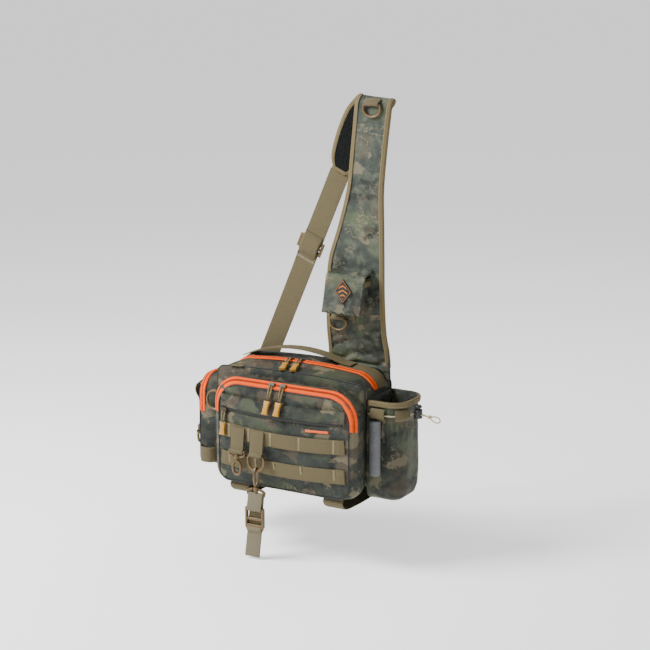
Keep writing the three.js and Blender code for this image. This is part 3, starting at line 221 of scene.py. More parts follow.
def tint(code, paintedLightGain=1.0):
    parts = [int(code[i:i + 2], 16) / 255 for i in (1, 3, 5)]
    return tuple(paintedLightGain * (v / 12.92 if v < 0.04045 else ((v + 0.055) / 1.055) ** 2.4) for v in parts) + (1,)


def cycles(pitch):  # turns a length in metres into the angle of a wave, for a pitch in millimetres
    return 2 * math.pi * 1000 / pitch


camo = dict(ground="#2b322e", deep="#161a18", moss="#474f3a", bark="#5f4f40", straw="#857a60", haze="#555a4c",
            dust="#6c6d60", patch=16.0, thread=1.1)


# printed cloth; moss moves where that colour starts, and bark, straw and haze say how strong those layers are; the gain
# scales every colour, painted light and shade for the part that wears this copy
def camoCloth(name, paintedLightGain, shift=(0, 0, 0), moss=0.49, bark=0.62, straw=0.72, haze=0.3):
    material, kit = newMaterial(name)
    here = kit.place()
    drift = kit.make("ShaderNodeTexNoise", None, out=1, Vector=here, Scale=30.0, Detail=4.0)
    warped = kit.shifted(here, kit.stretched(drift, 0.034, 0.034, 0.026))
    wide = kit.stretched(warped, 0.8, 0.8, 1.15)
    shade = lambda key: tint(camo[key], paintedLightGain)
    moved = lambda far: kit.shifted(wide, [a + b for a, b in zip(far, shift)])
    patch = lambda far, finer, low, soft: kit.band(kit.noise(moved(far), camo["patch"] * finer), low, low + soft)
    tone = kit.mix(patch((0, 0, 0), 1, moss, 0.14), shade("ground"), shade("moss"))
    tone = kit.mix(patch((7.7, 2.1, 5.3), 1.1, 0.5, 0.1), tone, shade("deep"))
    tone = kit.mix(patch((3.1, 1.2, 0.4), 1.5, 0.56, 0.05) * bark, tone, shade("bark"))
    tone = kit.mix(patch((1.9, 6.4, 2.2), 1.7, 0.6, 0.05) * straw, tone, shade("straw"))
    coast = kit.noise(moved((5.2, 3.3, 8.1)), camo["patch"] * 2.2, 4.0, 0.6)  # thin pale lines in a few places
    line = kit.band(coast, 0.555, 0.565) * (1 - kit.band(coast, 0.575, 0.585))
    tone = kit.mix(line * patch((9.2, 4.4, 6.1), 0.8, 0.5, 0.06) * 0.6, tone, shade("straw"))
    worn = kit.noise(here, 260.0, 4.0, 0.6)
    tone = kit.mix(kit.band(kit.noise(here, 70.0, 4.0, 0.6), 0.4, 0.75) * haze, tone, shade("haze"))
    kit.colour(kit.mix(worn * 0.16, tone, shade("dust")))
    x, y, z = kit.split(here)
    grid = kit.wave((x + y) * cycles(camo["thread"])) * kit.wave(z * cycles(camo["thread"]))
    crumple = kit.noise(here, 48.0, 4.0, 0.5)
    kit.bump(grid * 0.12 + crumple * 3.2 + worn * 0.35, 0.0013)
    kit.rough(0.42 + worn * 0.24)
    kit.dull(0.22)
    return material


def ribbedWeb(name, body, edge, pitch=1.7):
    material, kit = newMaterial(name)
    along, across = kit.weaveUv()
    rib = kit.wave(along * cycles(pitch))
    cords = kit.wave(across * cycles(2.1))
    dust = kit.noise(kit.place(), 320.0, 4.0, 0.6)
    tone = kit.mix(kit.band(rib, -0.6, 0.9), tint(edge), tint(body))
    kit.colour(kit.mix(dust * 0.35, tone, tint(edge)))
    kit.bump(rib * 0.6 + cords * 0.3 + dust * 0.5, 0.0004)
    kit.rough(0.8)
    kit.dull(0.2)
    return material


def zipTape():
    material, kit = newMaterial("orangeTape")
    along, across = kit.weaveUv()
    dust = kit.noise(kit.place(), 400.0, 3.0, 0.6)
    rib = kit.wave(along * cycles(1.3))
    tone = kit.mix(kit.band(rib, -0.8, 0.8), tint("#f24c00"), tint("#ff6c00"))
    kit.colour(kit.mix(dust * 0.4, tone, tint("#e03c00")))
    kit.bump(rib * 0.5 + dust * 0.4, 0.0003)
    kit.rough(0.62)
    kit.dull(0.2)
    return material


def plainFinish(name, tone, speck, rough, grain=500.0, depth=0.00015, metallic=0.0):
    material, kit = newMaterial(name)
    here = kit.place()
    fine = kit.noise(here, grain, 4.0, 0.55)
    broad = kit.noise(here, 60.0, 3.0, 0.5)
    kit.colour(kit.mix(kit.band(fine * 0.6 + broad * 0.4, 0.42, 0.66), tint(tone), tint(speck)))
    kit.bump(fine, depth)
    kit.rough(rough + fine * 0.12)
    kit.fix("Metallic", metallic)
    return material


def spacerMesh():
    material, kit = newMaterial("darkSpacerMesh")
    cells = kit.make("ShaderNodeTexVoronoi", None, Vector=kit.place(), Scale=330.0)
    hole = kit.band(cells, 0.12, 0.5)
    kit.colour(kit.mix(hole, tint("#040504"), tint("#101311")))
    kit.bump(hole, 0.0008)
    kit.rough(0.85)
    kit.dull(0.12)
    return material


def braidedCord():
    material, kit = newMaterial("braidedCord")
    along, across = kit.weaveUv()
    turn, run = across * cycles(3.77), along * cycles(3.4)
    braid = kit.wave(run + turn) * kit.wave(run - turn)
    kit.colour(kit.mix(kit.band(braid, -0.1, 0.3), tint("#d8cba6"), tint("#7d6f4a")))
    kit.bump(braid, 0.0003)
    kit.rough(0.75)
    return material


badge = dict(halfWidth=17, halfHeight=21, chevron=7.5, slope=0.55)


def badgeFace():
    material, kit = newMaterial("badgeFace")
    along, across = kit.weaveUv()  # metres from the badge's middle, sideways and up
    far = lambda value: kit.maths("ABSOLUTE", value)
    edge = far(along) / badge["halfWidth"] * 1000 + far(across) / badge["halfHeight"] * 1000
    border = kit.band(edge, 0.85, 0.86) * (1 - kit.band(edge, 0.9, 0.91))
    steps = kit.wave((across + far(along) * badge["slope"]) * cycles(badge["chevron"]))
    inner = (1 - kit.band(edge, 0.66, 0.68)) * kit.band(steps, 0.5, 0.62)
    mark = kit.maths("MAXIMUM", border, inner)
    kit.colour(kit.mix(mark, tint("#101110"), tint("#b46a10")))
    kit.bump(mark + kit.noise(kit.place(), 700.0) * 0.3, 0.0004)
    kit.rough(0.5)
    return material


# material, two colours, roughness; then the grain's scale, its depth in metres and the metal, where they differ
plainLooks = dict(
    piping=("blackPiping", "#101110", "#1b1c18", 0.6),
    coil=("orangeCoil", "#a83400", "#c84a08", 0.5, 900.0),
    moulded=("sandMoulded", "#57431d", "#684f26", 0.36, 420.0),
    grip=("yellowGrip", "#a97a26", "#b98830", 0.36, 420.0),
    black=("blackMoulded", "#171817", "#222321", 0.4),
    metal=("dullMetal", "#352e1d", "#453d28", 0.5, 500.0, 0.0001, 0.2),
    knit=("greyKnit", "#606163", "#6e6f71", 0.75, 380.0, 0.0004),
    thread=("khakiThread", "#a09370", "#8b7e5c", 0.7),
    paleThread=("paleThread", "#cfc6ac", "#bdb498", 0.7),
    darkThread=("darkThread", "#2a2c26", "#1d1e1a", 0.7),
    mark=("orangeMark", "#d9520f", "#ea661f", 0.45),
    pullCord=("oliveCord", "#6d6040", "#8a7b52", 0.7, 700.0, 0.0003),
)
looks = {}


def makeLooks():
    looks.update({key: plainFinish(*values) for key, values in plainLooks.items()})
    looks.update(
        # the gain is painted light and shade: the bag's cloth is darkened to 0.8 as if in shade, the strap's lightened
        # to 1.18 as if in more light, the bottle pocket's set to 0.95
        camo=camoCloth("camoCloth", 0.8),
        camoStrap=camoCloth("camoStrapCloth", 1.18, (4.4, 0.7, 2.6), 0.5, 0.4, 0.55, 0.85),
        camoBottle=camoCloth("camoBottleCloth", 0.95, (2.3, 5.1, 0.9), 0.44, 0.3, 0.5),
        web=ribbedWeb("khakiWebbing", "#786d50", "#554d38"),
        paleWeb=ribbedWeb("paleWebbing", "#8a8068", "#676050"),
        edging=ribbedWeb("khakiEdging", "#8a7c5a", "#665a3e", 1.2),
        tape=zipTape(), cord=braidedCord(), mesh=spacerMesh(), badge=badgeFace())
    print("finishes made:", len(looks))


def finish(obj, look, nodes=(), body="bag"):
    obj.data.materials.clear()
    obj.data.materials.append(looks[look])
    obj.data.shade_smooth()
    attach(obj, body)
    if nodes:
        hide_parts(*nodes)
    return obj


def outwards(obj):
    shape = bmesh.new()
    shape.from_mesh(obj.data)
    bmesh.ops.recalc_face_normals(shape, faces=shape.faces)
    shape.to_mesh(obj.data)
    shape.free()
    return obj


def newObject(name, points, faces, uvs=None):
    mesh = bpy.data.meshes.new(name)
    mesh.from_pydata([at(*p) for p in points], [], faces)
    if uvs is not None:
        layer = mesh.uv_layers.new(name="cloth")
        for loop in mesh.loops:
            layer.data[loop.index].uv = uvs[loop.vertex_index]
    return outwards(addObject(name, mesh))


def roundEdges(obj, width, segments):
    soft = obj.modifiers.new("edges", "BEVEL")
    soft.width = width / 1000
    soft.segments = segments
    return soft


def useModifiers(obj):
    made = bpy.data.meshes.new_from_object(obj.evaluated_get(bpy.context.evaluated_depsgraph_get()))
    obj.modifiers.clear()
    old = obj.data
    obj.data = made
    bpy.data.meshes.remove(old)
    return obj


def ringFaces(count, rows, closed=False):
    faces = []
    for r in range(rows if closed else rows - 1):
        a, b = r * count, (r + 1) % rows * count
        faces += [(a + i, a + (i + 1) % count, b + (i + 1) % count, b + i) for i in range(count)]
    return faces


# rings of equal count joined side by side; open ends are closed with a fan
def ringMesh(name, rings, closed=False):
    rings = [[Vector(p) for p in ring] for ring in rings]
    count = len(rings[0])
    probes = range(0, count, 7)
    uvs, run = [], 0
    for r, ring in enumerate(rings):
        if r:
            run += sum((ring[i] - rings[r - 1][i]).length for i in probes) / len(probes)
        side = 0
        for i, p in enumerate(ring):
            side += (p - ring[i - 1]).length if i else 0
            uvs.append((run / 1000, side / 1000))
    points = [p for ring in rings for p in ring]
    faces = ringFaces(count, len(rings), closed)
    for start in () if closed else (0, (len(rings) - 1) * count):
        points.append(sum(points[start:start + count], Vector()) / count)
        uvs.append(uvs[start])
        faces += [(len(points) - 1, start + i, start + (i + 1) % count) for i in range(count)]
    return newObject(name, points, faces, uvs)


# the same line with a wanted number of points, evenly spaced
def resample(points, count):
    line = [Vector(p) for p in points]
    steps = [0]
    for a, b in zip(line, line[1:]):
        steps.append(steps[-1] + (b - a).length)
    result = []
    k = 0
    for i in range(count):
        want = steps[-1] * i / (count - 1)
        while k < len(steps) - 2 and steps[k + 1] < want:
            k += 1
        span = steps[k + 1] - steps[k] or 1
        result.append(line[k].lerp(line[k + 1], held((want - steps[k]) / span)))
    return result


# a smooth curve through points, as many times finer
def smoothPath(points, finer=8):
    line = [Vector(p) for p in points]
    line = [2 * line[0] - line[1]] + line + [2 * line[-1] - line[-2]]
    result = []
    for i in range(1, len(line) - 2):
        a, b, c, d = line[i - 1:i + 3]
        bend, twist = 2 * a - 5 * b + 4 * c - d, 3 * b - a - 3 * c + d
        for t in [k / finer for k in range(finer)]:
            result.append(0.5 * (2 * b + (c - a) * t + bend * t * t + twist * t ** 3))
    result.append(line[-2])
    return result


def tube(name, path, radius, closed=False, sides=10):
    line = [Vector(p) for p in path]
    count = len(line)
    rings = []
    side = None
    angles = [2 * math.pi * k / sides for k in range(sides)]
    for i, p in enumerate(line):
        before = line[(i - 1) % count] if closed or i else p
        after = line[(i + 1) % count] if closed or i < count - 1 else p
        along = (after - before).normalized()
        side = side or along.orthogonal().normalized()
        side = (side - along * side.dot(along)).normalized()
        other = along.cross(side)
        rings.append([p + radius * (side * math.cos(a) + other * math.sin(a)) for a in angles])
    return ringMesh(name, rings, closed)


# a closed strip with thin edges along a path; across is the number of cells over its width
def strip(name, path, wide, width, thick=1.5, across=12):
    line = [Vector(p) for p in path]
    points, uvs = [], []
    run = 0
    profile = [(2 * k / across - 1, 0.5) for k in range(across + 1)]
    profile += [(1 - 2 * k / across, -0.5) for k in range(across + 1)]
    for i, p in enumerate(line):
        before, after = line[max(i - 1, 0)], line[min(i + 1, len(line) - 1)]
        along = (after - before).normalized()
        side = Vector(wide).normalized()
        side = (side - along * side.dot(along)).normalized()
        face = side.cross(along)
        run += (p - before).length if i else 0
        for u, v in profile:
            thin = 0.45 if abs(u) > 0.99 else 1.0
            points.append(p + side * (u * width / 2) + face * (v * thick * thin))
            uvs.append((run / 1000, u * width / 2000))
    count = len(profile)
    faces = ringFaces(count, len(line))
    faces.append(tuple(range(count)))
    faces.append(tuple((len(line) - 1) * count + i for i in range(count))[::-1])
    return newObject(name, points, faces, uvs)


def webbing(name, path, wide, width, nodes=(), body="bag", thick=1.5, across=12):
    return finish(strip(name, path, wide, width, thick, across), "web", nodes, body)


def ripple(p, scale, seed=0.0):
    return noise.noise(Vector(p) / scale + Vector((seed, seed * 1.7, -seed)))


# small shapes repeated along a path: threads and zip teeth
def repeatTree():
    tree = bpy.data.node_groups.new("repeatAlongPath", "GeometryNodeTree")
    sizes = [(label, "Float") for label in ("Spacing", "Length", "Width", "Height")]
    for label, kind in [("Geometry", "Geometry")] + sizes + [("Material", "Material")]:
        tree.interface.new_socket(label, in_out="INPUT", socket_type="NodeSocket" + kind)
    tree.interface.new_socket("Geometry", in_out="OUTPUT", socket_type="NodeSocketGeometry")
    add = tree.nodes.new
    start, end = add("NodeGroupInput"), add("NodeGroupOutput")
    curve = add("GeometryNodeMeshToCurve")
    even = add("GeometryNodeResampleCurve")
    even.mode = "LENGTH"
    tangent = add("GeometryNodeInputTangent")
    facing = add("GeometryNodeInputNamedAttribute")
    facing.data_type = "FLOAT_VECTOR"
    facing.inputs[0].default_value = "facing"
    first, second = add("FunctionNodeAlignRotationToVector"), add("FunctionNodeAlignRotationToVector")
    first.axis = "X"
    second.axis = "Z"
    second.pivot_axis = "X"
    size = add("ShaderNodeCombineXYZ")
    unit = add("GeometryNodeMeshCylinder")
    for label, value in (("Vertices", 8), ("Radius", 0.5), ("Depth", 1.0)):
        unit.inputs[label].default_value = value
    turned = add("GeometryNodeTransform")
    turned.inputs["Rotation"].default_value = (math.pi / 2, 0, 0)
    copies = add("GeometryNodeInstanceOnPoints")
    real = add("GeometryNodeRealizeInstances")
    coat = add("GeometryNodeSetMaterial")
    for source, out, target, into in (
        (start, "Geometry", curve, 0), (curve, 0, even, "Curve"), (start, "Spacing", even, "Length"),
        (tangent, 0, first, "Vector"), (first, 0, second, "Rotation"), (facing, "Attribute", second, "Vector"),
        (start, "Length", size, 0), (start, "Width", size, 1), (start, "Height", size, 2),
        (unit, "Mesh", turned, "Geometry"), (even, 0, copies, "Points"), (turned, 0, copies, "Instance"),
        (second, 0, copies, "Rotation"), (size, 0, copies, "Scale"), (copies, 0, real, 0),
        (real, 0, coat, "Geometry"), (start, "Material", coat, "Material"), (coat, 0, end, 0),
    ):
        tree.links.new(source.outputs[out], target.inputs[into])
    return tree


repeats = {}


# size is the length, width and height of one copy; a facing is one direction, or a list with one for each point
def repeatAlong(name, paths, facings, spacing, size, look):
    if "tree" not in repeats:
        repeats["tree"] = repeatTree()
    points, edges, facing = [], [], []
    for path, normals in zip(paths, facings):
        start = len(points)
        points += [at(*p) for p in path]
        facing += normals if isinstance(normals, list) else [Vector(normals)] * len(path)
        edges += [(start + i, start + i + 1) for i in range(len(path) - 1)]
    mesh = bpy.data.meshes.new(name)
    mesh.from_pydata(points, edges, [])
    layer = mesh.attributes.new("facing", "FLOAT_VECTOR", "POINT")
    for i, v in enumerate(facing):
        layer.data[i].vector = v
    obj = addObject(name, mesh)
    modifier = obj.modifiers.new("repeat", "NODES")
    modifier.node_group = repeats["tree"]
    values = dict(zip(("Spacing", "Length", "Width", "Height"), (v / 1000 for v in (spacing,) + size)))
    values["Material"] = looks[look]
    for item in repeats["tree"].interface.items_tree:
        if item.item_type == "SOCKET" and item.in_out == "INPUT" and item.name in values:
            modifier[item.identifier] = values[item.name]
    return finish(useModifiers(obj), look)


def bodyOf(node):
    for body, members in frame["record"]["behaviour"]["bodies"].items():
        if node in members:
            return body
    return "bag"


# a CAD piece copied, merged and rounded; swell makes up for what smoothing takes off a thin wire
def roundCopy(node, look, bevel=0.0, levels=0, swell=0.0):
    mesh = frame["nodes"][node].data.copy()
    obj = addObject(node + "Fine", mesh)
    shape = bmesh.new()
    shape.from_mesh(mesh)
    bmesh.ops.remove_doubles(shape, verts=shape.verts, dist=2e-6)
    bmesh.ops.join_triangles(shape, faces=shape.faces, angle_face_threshold=0.7, angle_shape_threshold=0.7)
    shape.to_mesh(mesh)
    shape.free()
    if bevel:
        soft = roundEdges(obj, bevel, 3)
        soft.limit_method = "ANGLE"
        soft.angle_limit = math.radians(40)
    if levels:
        fine = obj.modifiers.new("fine", "SUBSURF")
        fine.levels = fine.render_levels = levels
    if obj.modifiers:
        useModifiers(obj)
    if swell:
        wrinkle(obj, lambda p, n: swell)
    return finish(obj, look, (node,), bodyOf(node))


# pushes each point along its normal by amount(place, normal), in millimetres
def wrinkle(obj, amount):
    spots = obj.data.vertices
    moves = [v.normal * (amount(v.co * 1000 + strapFold, v.normal) / 1000) for v in spots]
    for v, move in zip(spots, moves):
        v.co += move
    obj.data.update()
    return obj


def clothFolds(weight=1.0, seed=0.0):
    return lambda p, n: weight * (2.3 * ripple(p, 46, seed) + 0.9 * ripple(p, 17, seed + 3) - 1.2)


def flatUv(obj, along, across, origin=(0, 0, 0)):
    along, across, origin = Vector(along).normalized(), Vector(across).normalized(), Vector(origin)
    layer = obj.data.uv_layers.get("cloth") or obj.data.uv_layers.new(name="cloth")
    for loop in obj.data.loops:
        p = obj.data.vertices[loop.vertex_index].co - origin
        layer.data[loop.index].uv = (p.dot(along), p.dot(across))


outlineSteps = dict(corner=14, upright=34, level=60)
rightSideStart = 2 * (outlineSteps["corner"] + 1) + outlineSteps["level"] - 1  # where the right edge starts


# a rounded rectangle from its lower left corner, anticlockwise; lower and upper are its corner radii
def outline(left, right, bottom, top, lower, upper, crown=0.0):
    points = []
    corner, upright, level = (outlineSteps[key] for key in ("corner", "upright", "level"))

    def arc(x, z, radius, start):
        for i in range(corner + 1):
            a = start + math.pi / 2 * i / corner
            points.append((x + radius * math.cos(a), z + radius * math.sin(a)))

    def run(a, b, steps, lift=0.0):
        for t in [i / steps for i in range(1, steps)]:
            rise = lift * (1 - (2 * t - 1) ** 2)
            points.append((a[0] + (b[0] - a[0]) * t, a[1] + (b[1] - a[1]) * t + rise))

    arc(left + lower, bottom + lower, lower, math.pi)
    run((left + lower, bottom), (right - lower, bottom), level)
    arc(right - lower, bottom + lower, lower, 1.5 * math.pi)
    run((right, bottom + lower), (right, top - upper), upright)
    arc(right - upper, top - upper, upper, 0)
    run((right - upper, top), (left + upper, top), level, crown)
    arc(left + upper, top - upper, upper, math.pi / 2)
    run((left, top - upper), (left, bottom + lower), upright)
    return points


# the part of an outline above a height, from its right end over the top to its left end
def archOf(points, foot, count):
    kept = [p for p in points[rightSideStart:] if p[1] > foot]
    line = [(kept[0][0], foot)] + kept + [(kept[-1][0], foot)]
    return [(p.x, p.y) for p in resample(line, count)]


def shrunk(spots, middle, share):
    return [(middle[0] + (x - middle[0]) * share, middle[1] + (z - middle[1]) * share) for x, z in spots]


# a row of a table between its rows; the first number of each row is where it stands
def between(rows, share):
    for low, high in zip(rows, rows[1:]):
        if share <= high[0]:
            t = (share - low[0]) / (high[0] - low[0])
            return [a + (b - a) * t for a, b in zip(low, high)]
    return list(rows[-1])


# profile: place over the band's width and height above the cloth; tooth and dash: one zip tooth, one stitch
zipBand = dict(
    profile=((0.05, -0.3), (0.07, 0.6), (0.12, 1.0), (0.24, 1.5), (0.36, 1.15), (0.42, 0.3), (0.5, 0.1),
             (0.58, 0.3), (0.64, 1.15), (0.76, 1.5), (0.88, 1.0), (0.93, 0.6), (0.95, -0.3)),
    under=0.7, tooth=(0.85, 3.2, 1.5), toothLift=0.45, pitch=1.55, dash=(1.9, 0.45, 0.35), dashPitch=3.0)


# grid[i][k] lies on the cloth: i runs along the zip, k across it
def bandNormals(grid, middle):
    normals = []
    for i, row in enumerate(grid):
        before, after = grid[max(i - 1, 0)], grid[min(i + 1, len(grid) - 1)]
        line = []
        for k in range(len(row)):
            across = row[min(k + 1, len(row) - 1)] - row[max(k - 1, 0)]
            n = (after[k] - before[k]).cross(across).normalized()
            line.append(n if n.dot(row[k] - middle) > 0 else -n)
        normals.append(line)
    return normals


def zipOn(name, lines, depthAt, place, middle, node):
    grid = [[Vector(place(x, depth, z)) for (x, z), depth in zip(spots, depthAt)] for spots in zip(*lines)]
    normals = bandNormals(grid, middle)
    lifts = [lift for _, lift in zipBand["profile"]]
    rings = []
    for row, line in zip(grid, normals):
        top = [p + n * lift for p, n, lift in zip(row, line, lifts)]
        rings.append(top + [p - n * zipBand["under"] for p, n in zip(row, line)][::-1])
    finish(ringMesh(name + "Tape", rings), "tape", (node,))
    column = lambda k, lift: [row[k] + line[k] * lift for row, line in zip(grid, normals)]
    facing = lambda k: [line[k] for line in normals]
    mid = len(lifts) // 2
    repeatAlong(name + "Coil", [column(mid, zipBand["toothLift"])], [facing(mid)], zipBand["pitch"],
                zipBand["tooth"], "coil")
    edges = (2, len(lifts) - 3)
    repeatAlong(name + "Thread", [column(k, lifts[k] + 0.05) for k in edges], [facing(k) for k in edges],
                zipBand["dashPitch"], zipBand["dash"], "coil")


# from the panel's edge to the back: share of zipOut, of zipBack and of the rest of the depth
pocketRows = ((0, 0, 0), (0.62, 0.45, 0), (1, 1, 0), (0.85, 1, 0.45), (0.35, 1, 1))
pocketSteps = (4, 4, 9, 9)
bandRows = ((0, 0, 0), (0.5, 0.62, 0.45), (1, 1, 1))
front = dict(width=254, height=171, depth=51.65, bulge=12, zipOut=12.5, zipBack=9.5, zipEnd=119, lower=20, upper=42,
             piping=1.15, sag=4)
side = dict(width=82, height=159, depth=42, bulge=9, zipOut=4, zipBack=14.5, zipEnd=97, lower=14, upper=34,
            piping=1.15, x=-78.35, y=140.5)


def panelDepth(pocket, x, z):
    u, v = 2 * x / pocket["width"] - 1, 2 * z / pocket["height"] - 1
    return -pocket["bulge"] * max(1 - u * u, 0) * max(1 - v * v, 0)


def pocketOutline(pocket, out):
    right, top = pocket["width"] + out, pocket["height"] + out
    return outline(-out, right, 0, top, pocket["lower"], pocket["upper"] + out * 0.5)


def frontPlace(x, y, z):
    return (x, y, z)


def sidePlace(x, y, z):
    return (side["x"] + y, side["y"] - x, z)


def makePocket(name, pocket, place, node, folds):
    edge = pocketOutline(pocket, 0)
    middle = (pocket["width"] / 2, pocket["height"] / 2)
    rings = []
    for share in [0.012 + 0.988 * (i / 26) ** 0.9 for i in range(27)]:
        rings.append([place(x, panelDepth(pocket, x, z), z) for x, z in shrunk(edge, middle, share)])
    rest = pocket["depth"] - pocket["zipBack"]
    for a, b, steps in zip(pocketRows, pocketRows[1:], pocketSteps):
        for i in range(1, steps + 1):
            out, back, far = (p + (q - p) * i / steps for p, q in zip(a, b))
            y = back * pocket["zipBack"] + far * rest
            rings.append([place(x, y, z) for x, z in pocketOutline(pocket, out * pocket["zipOut"])])
    finish(wrinkle(ringMesh(name + "Skin", rings), folds), "camo", (node,))
    finish(tube(name + "Piping", [place(x, -0.1, z) for x, z in edge], pocket["piping"], True), "piping")
    band = [between(bandRows, t)[1:] for t, _ in zipBand["profile"]]
    lines = [archOf(pocketOutline(pocket, out * pocket["zipOut"]), pocket["zipEnd"], 190) for out, _ in band]
    inner = Vector(place(middle[0], pocket["depth"], middle[1] * 0.7))
    zipOn(name, lines, [back * pocket["zipBack"] for _, back in band], place, inner, name + "_zip")


# how far a point is from the pocket's piped edge, as a share of the room its folds need
def clearOfEdge(pocket, x, y, z, room=11):
    inside = min(x, pocket["width"] - x, z, pocket["height"] - z)
    return held(max(inside, y) / room)


def sideFolds(p, n):
    return clothFolds(0.9, 2.0)(p, n) * clearOfEdge(side, side["y"] - p.y, p.x - side["x"], p.z)


# creases: height and depth of each, over the front panel between two ends; the puff stands above the upper one
frontCloth = dict(creases=((126.5, 2.1), (155.5, 2.9)), creaseWidth=1.7, ends=(6, 248), puffAt=163, puff=2.3,
                  puffWidth=5.5, webbed=(18, 112), webbedWeight=0.28, openWeight=0.6)


def sagAt(x):
    return -front["sag"] * max(1 - (2 * x / front["width"] - 1) ** 2, 0)


def frontFolds(p, n):
    cloth = frontCloth
    face = max(-n.y, 0)
    taut = cloth["webbedWeight"] if cloth["webbed"][0] < p.z < cloth["webbed"][1] else cloth["openWeight"]
    weight = taut * face + 1 - face
    crease = 0.0
    if cloth["ends"][0] < p.x < cloth["ends"][1]:
        for z, depth in cloth["creases"]:
            crease -= depth * bell(p.z - z - sagAt(p.x), cloth["creaseWidth"]) * face
    puff = cloth["puff"] * bell(p.z - cloth["puffAt"] - sagAt(p.x), cloth["puffWidth"]) * face
    folds = clothFolds(weight)(p, n) * clearOfEdge(front, p.x, p.y, p.z)
    return folds + crease + puff * (0.7 + ripple(p, 30, 9)) - 0.1


# share of the depth, then the height's rise and the upper and lower corner radii as shares of the height
mainRows = ((0, -0.04, 0.07, 0.1), (0.1, -0.03, 0.13, 0.11), (0.45, 0, 0.23, 0.11), (0.8, 0.012, 0.2, 0.11),
            (1, -0.005, 0.14, 0.1))
main = dict(left=-36, right=255, front=52, back=147, height=194, crown=5, zipMiddle=100, zipWidth=13.6, zipEnd=168.3,
            piping=1.2, middle=(110, 95), seam=12, highlightStart=-10, highlightEnd=20)
# rings of the mesh on the back: share of its outline and height above the back
backMesh = dict(outline=(-14, 233, 16, 176, 18, 26), middle=(110, 96), stand=0.9, edge=1.5, rings=(
    (1, -0.9), (1, 0.3), (0.985, 1.1), (0.95, 1.6), (0.8, 1.9), (0.55, 2.1), (0.3, 2.2), (0.05, 2.2)))


def mainOutline(y):
    _, rise, upper, lower = between(mainRows, (y - main["front"]) / (main["back"] - main["front"]))
    h = main["height"]
    return outline(main["left"], main["right"], 0, h * (1 + rise), h * lower, h * upper, main["crown"])


def makeMain():
    ends = main["front"], main["back"]
    flat = lambda y, share: [(x, y, z) for x, z in shrunk(mainOutline(y), main["middle"], share)]
    rings = [flat(ends[0], share) for share in [0.02] + [i / 9 for i in range(1, 10)]]
    for y in [ends[0] + (ends[1] - ends[0]) * i / 48 for i in range(1, 49)]:
        rings.append([(x, y, z) for x, z in mainOutline(y)])
    rings += [flat(ends[1], i / 20) for i in range(19, 0, -1)]
    seams = lambda y: held(min(y - ends[0], ends[1] - y) / main["seam"])
    folds = lambda p, n: clothFolds(1.0, 5.0)(p, n) * seams(p.y)
    finish(wrinkle(ringMesh("mainSkin", rings), folds), "camo", ("main_compartment",))
    for name, y in (("mainFrontPiping", ends[0] + 0.8), ("mainBackPiping", ends[1] - 0.6)):
        finish(tube(name, [(x, y, z) for x, z in mainOutline(y)], main["piping"], True), "piping")
    depths = [main["zipMiddle"] + main["zipWidth"] * (t - 0.5) for t, _ in zipBand["profile"]]
    lines = [archOf(mainOutline(y), main["zipEnd"], 210) for y in depths]
    zipOn("main", lines, depths, frontPlace, Vector((110, 100, 60)), "main_zip")
    rear = ends[1] + backMesh["stand"]
    inner = outline(*backMesh["outline"])
    rings = [[(x, rear + lift, z) for x, z in shrunk(inner, backMesh["middle"], share)]
             for share, lift in backMesh["rings"]]
    finish(ringMesh("backMesh", rings), "mesh")
    finish(tube("backMeshEdge", [(x, rear + 0.4, z) for x, z in inner], backMesh["edge"], True), "piping")


# tacks: where the rows are stitched down; the webbing lifts between them
rows = dict(edge=6, width=25, thick=1.5, stand=1.25, lift=1.1, tackEase=9, lower=29, lowerTacks=(24, 79, 116, 168, 229),
            upper=80, upperTacks=(24, 66, 111, 166, 229), tackThread=(0.5, 1.5, 0.45))
# the flap's drop and zip width place a black strip below its lower edge: painted shadow of the flap
flap = dict(foot=132, height=21, section=((0.0, 2.6), (0.03, 3.2), (0.12, 3.5), (0.3, 3.4), (0.6, 2.8), (0.85, 1.8),
            (0.97, 0.9), (1.0, 0.2)), shadowDrop=2.0, zipWidth=5.5, stitch=(134.6, 3.1), mark=(177, 220, 116.5),
            markWidth=4.2)


# a place on the front panel, standing off it
def rowPoint(x, z, stand):
    z = z + sagAt(x)
    return Vector((x, panelDepth(front, x, z) - stand, z))


def overPanel(count, edge):
    return [edge + (front["width"] - 2 * edge) * i / count for i in range(count + 1)]


def makeRow(name, foot, tacks, node):
    path = []
    for x in overPanel(120, rows["edge"]):
        near = min(abs(x - tack) for tack in tacks + (rows["edge"], front["width"] - rows["edge"]))
        stand = rows["stand"] + rows["lift"] * (1 - bell(near, rows["tackEase"]))
        path.append(rowPoint(x, foot + rows["width"] / 2, stand))
    webbing(name, path, (0, 0, 1), rows["width"], (node,), thick=rows["thick"])
    heights = [foot + 1.6 + (rows["width"] - 3.2) * k / 8 for k in range(9)]
    places = [tack + shift for tack in tacks for shift in (-0.8, 0.8)]
    lines = [[rowPoint(x, z, rows["stand"] + 0.95) for z in heights] for x in places]
    repeatAlong(name + "Tacks", lines, [(0, -1, 0)] * len(lines), 0.75, rows["tackThread"], "thread")


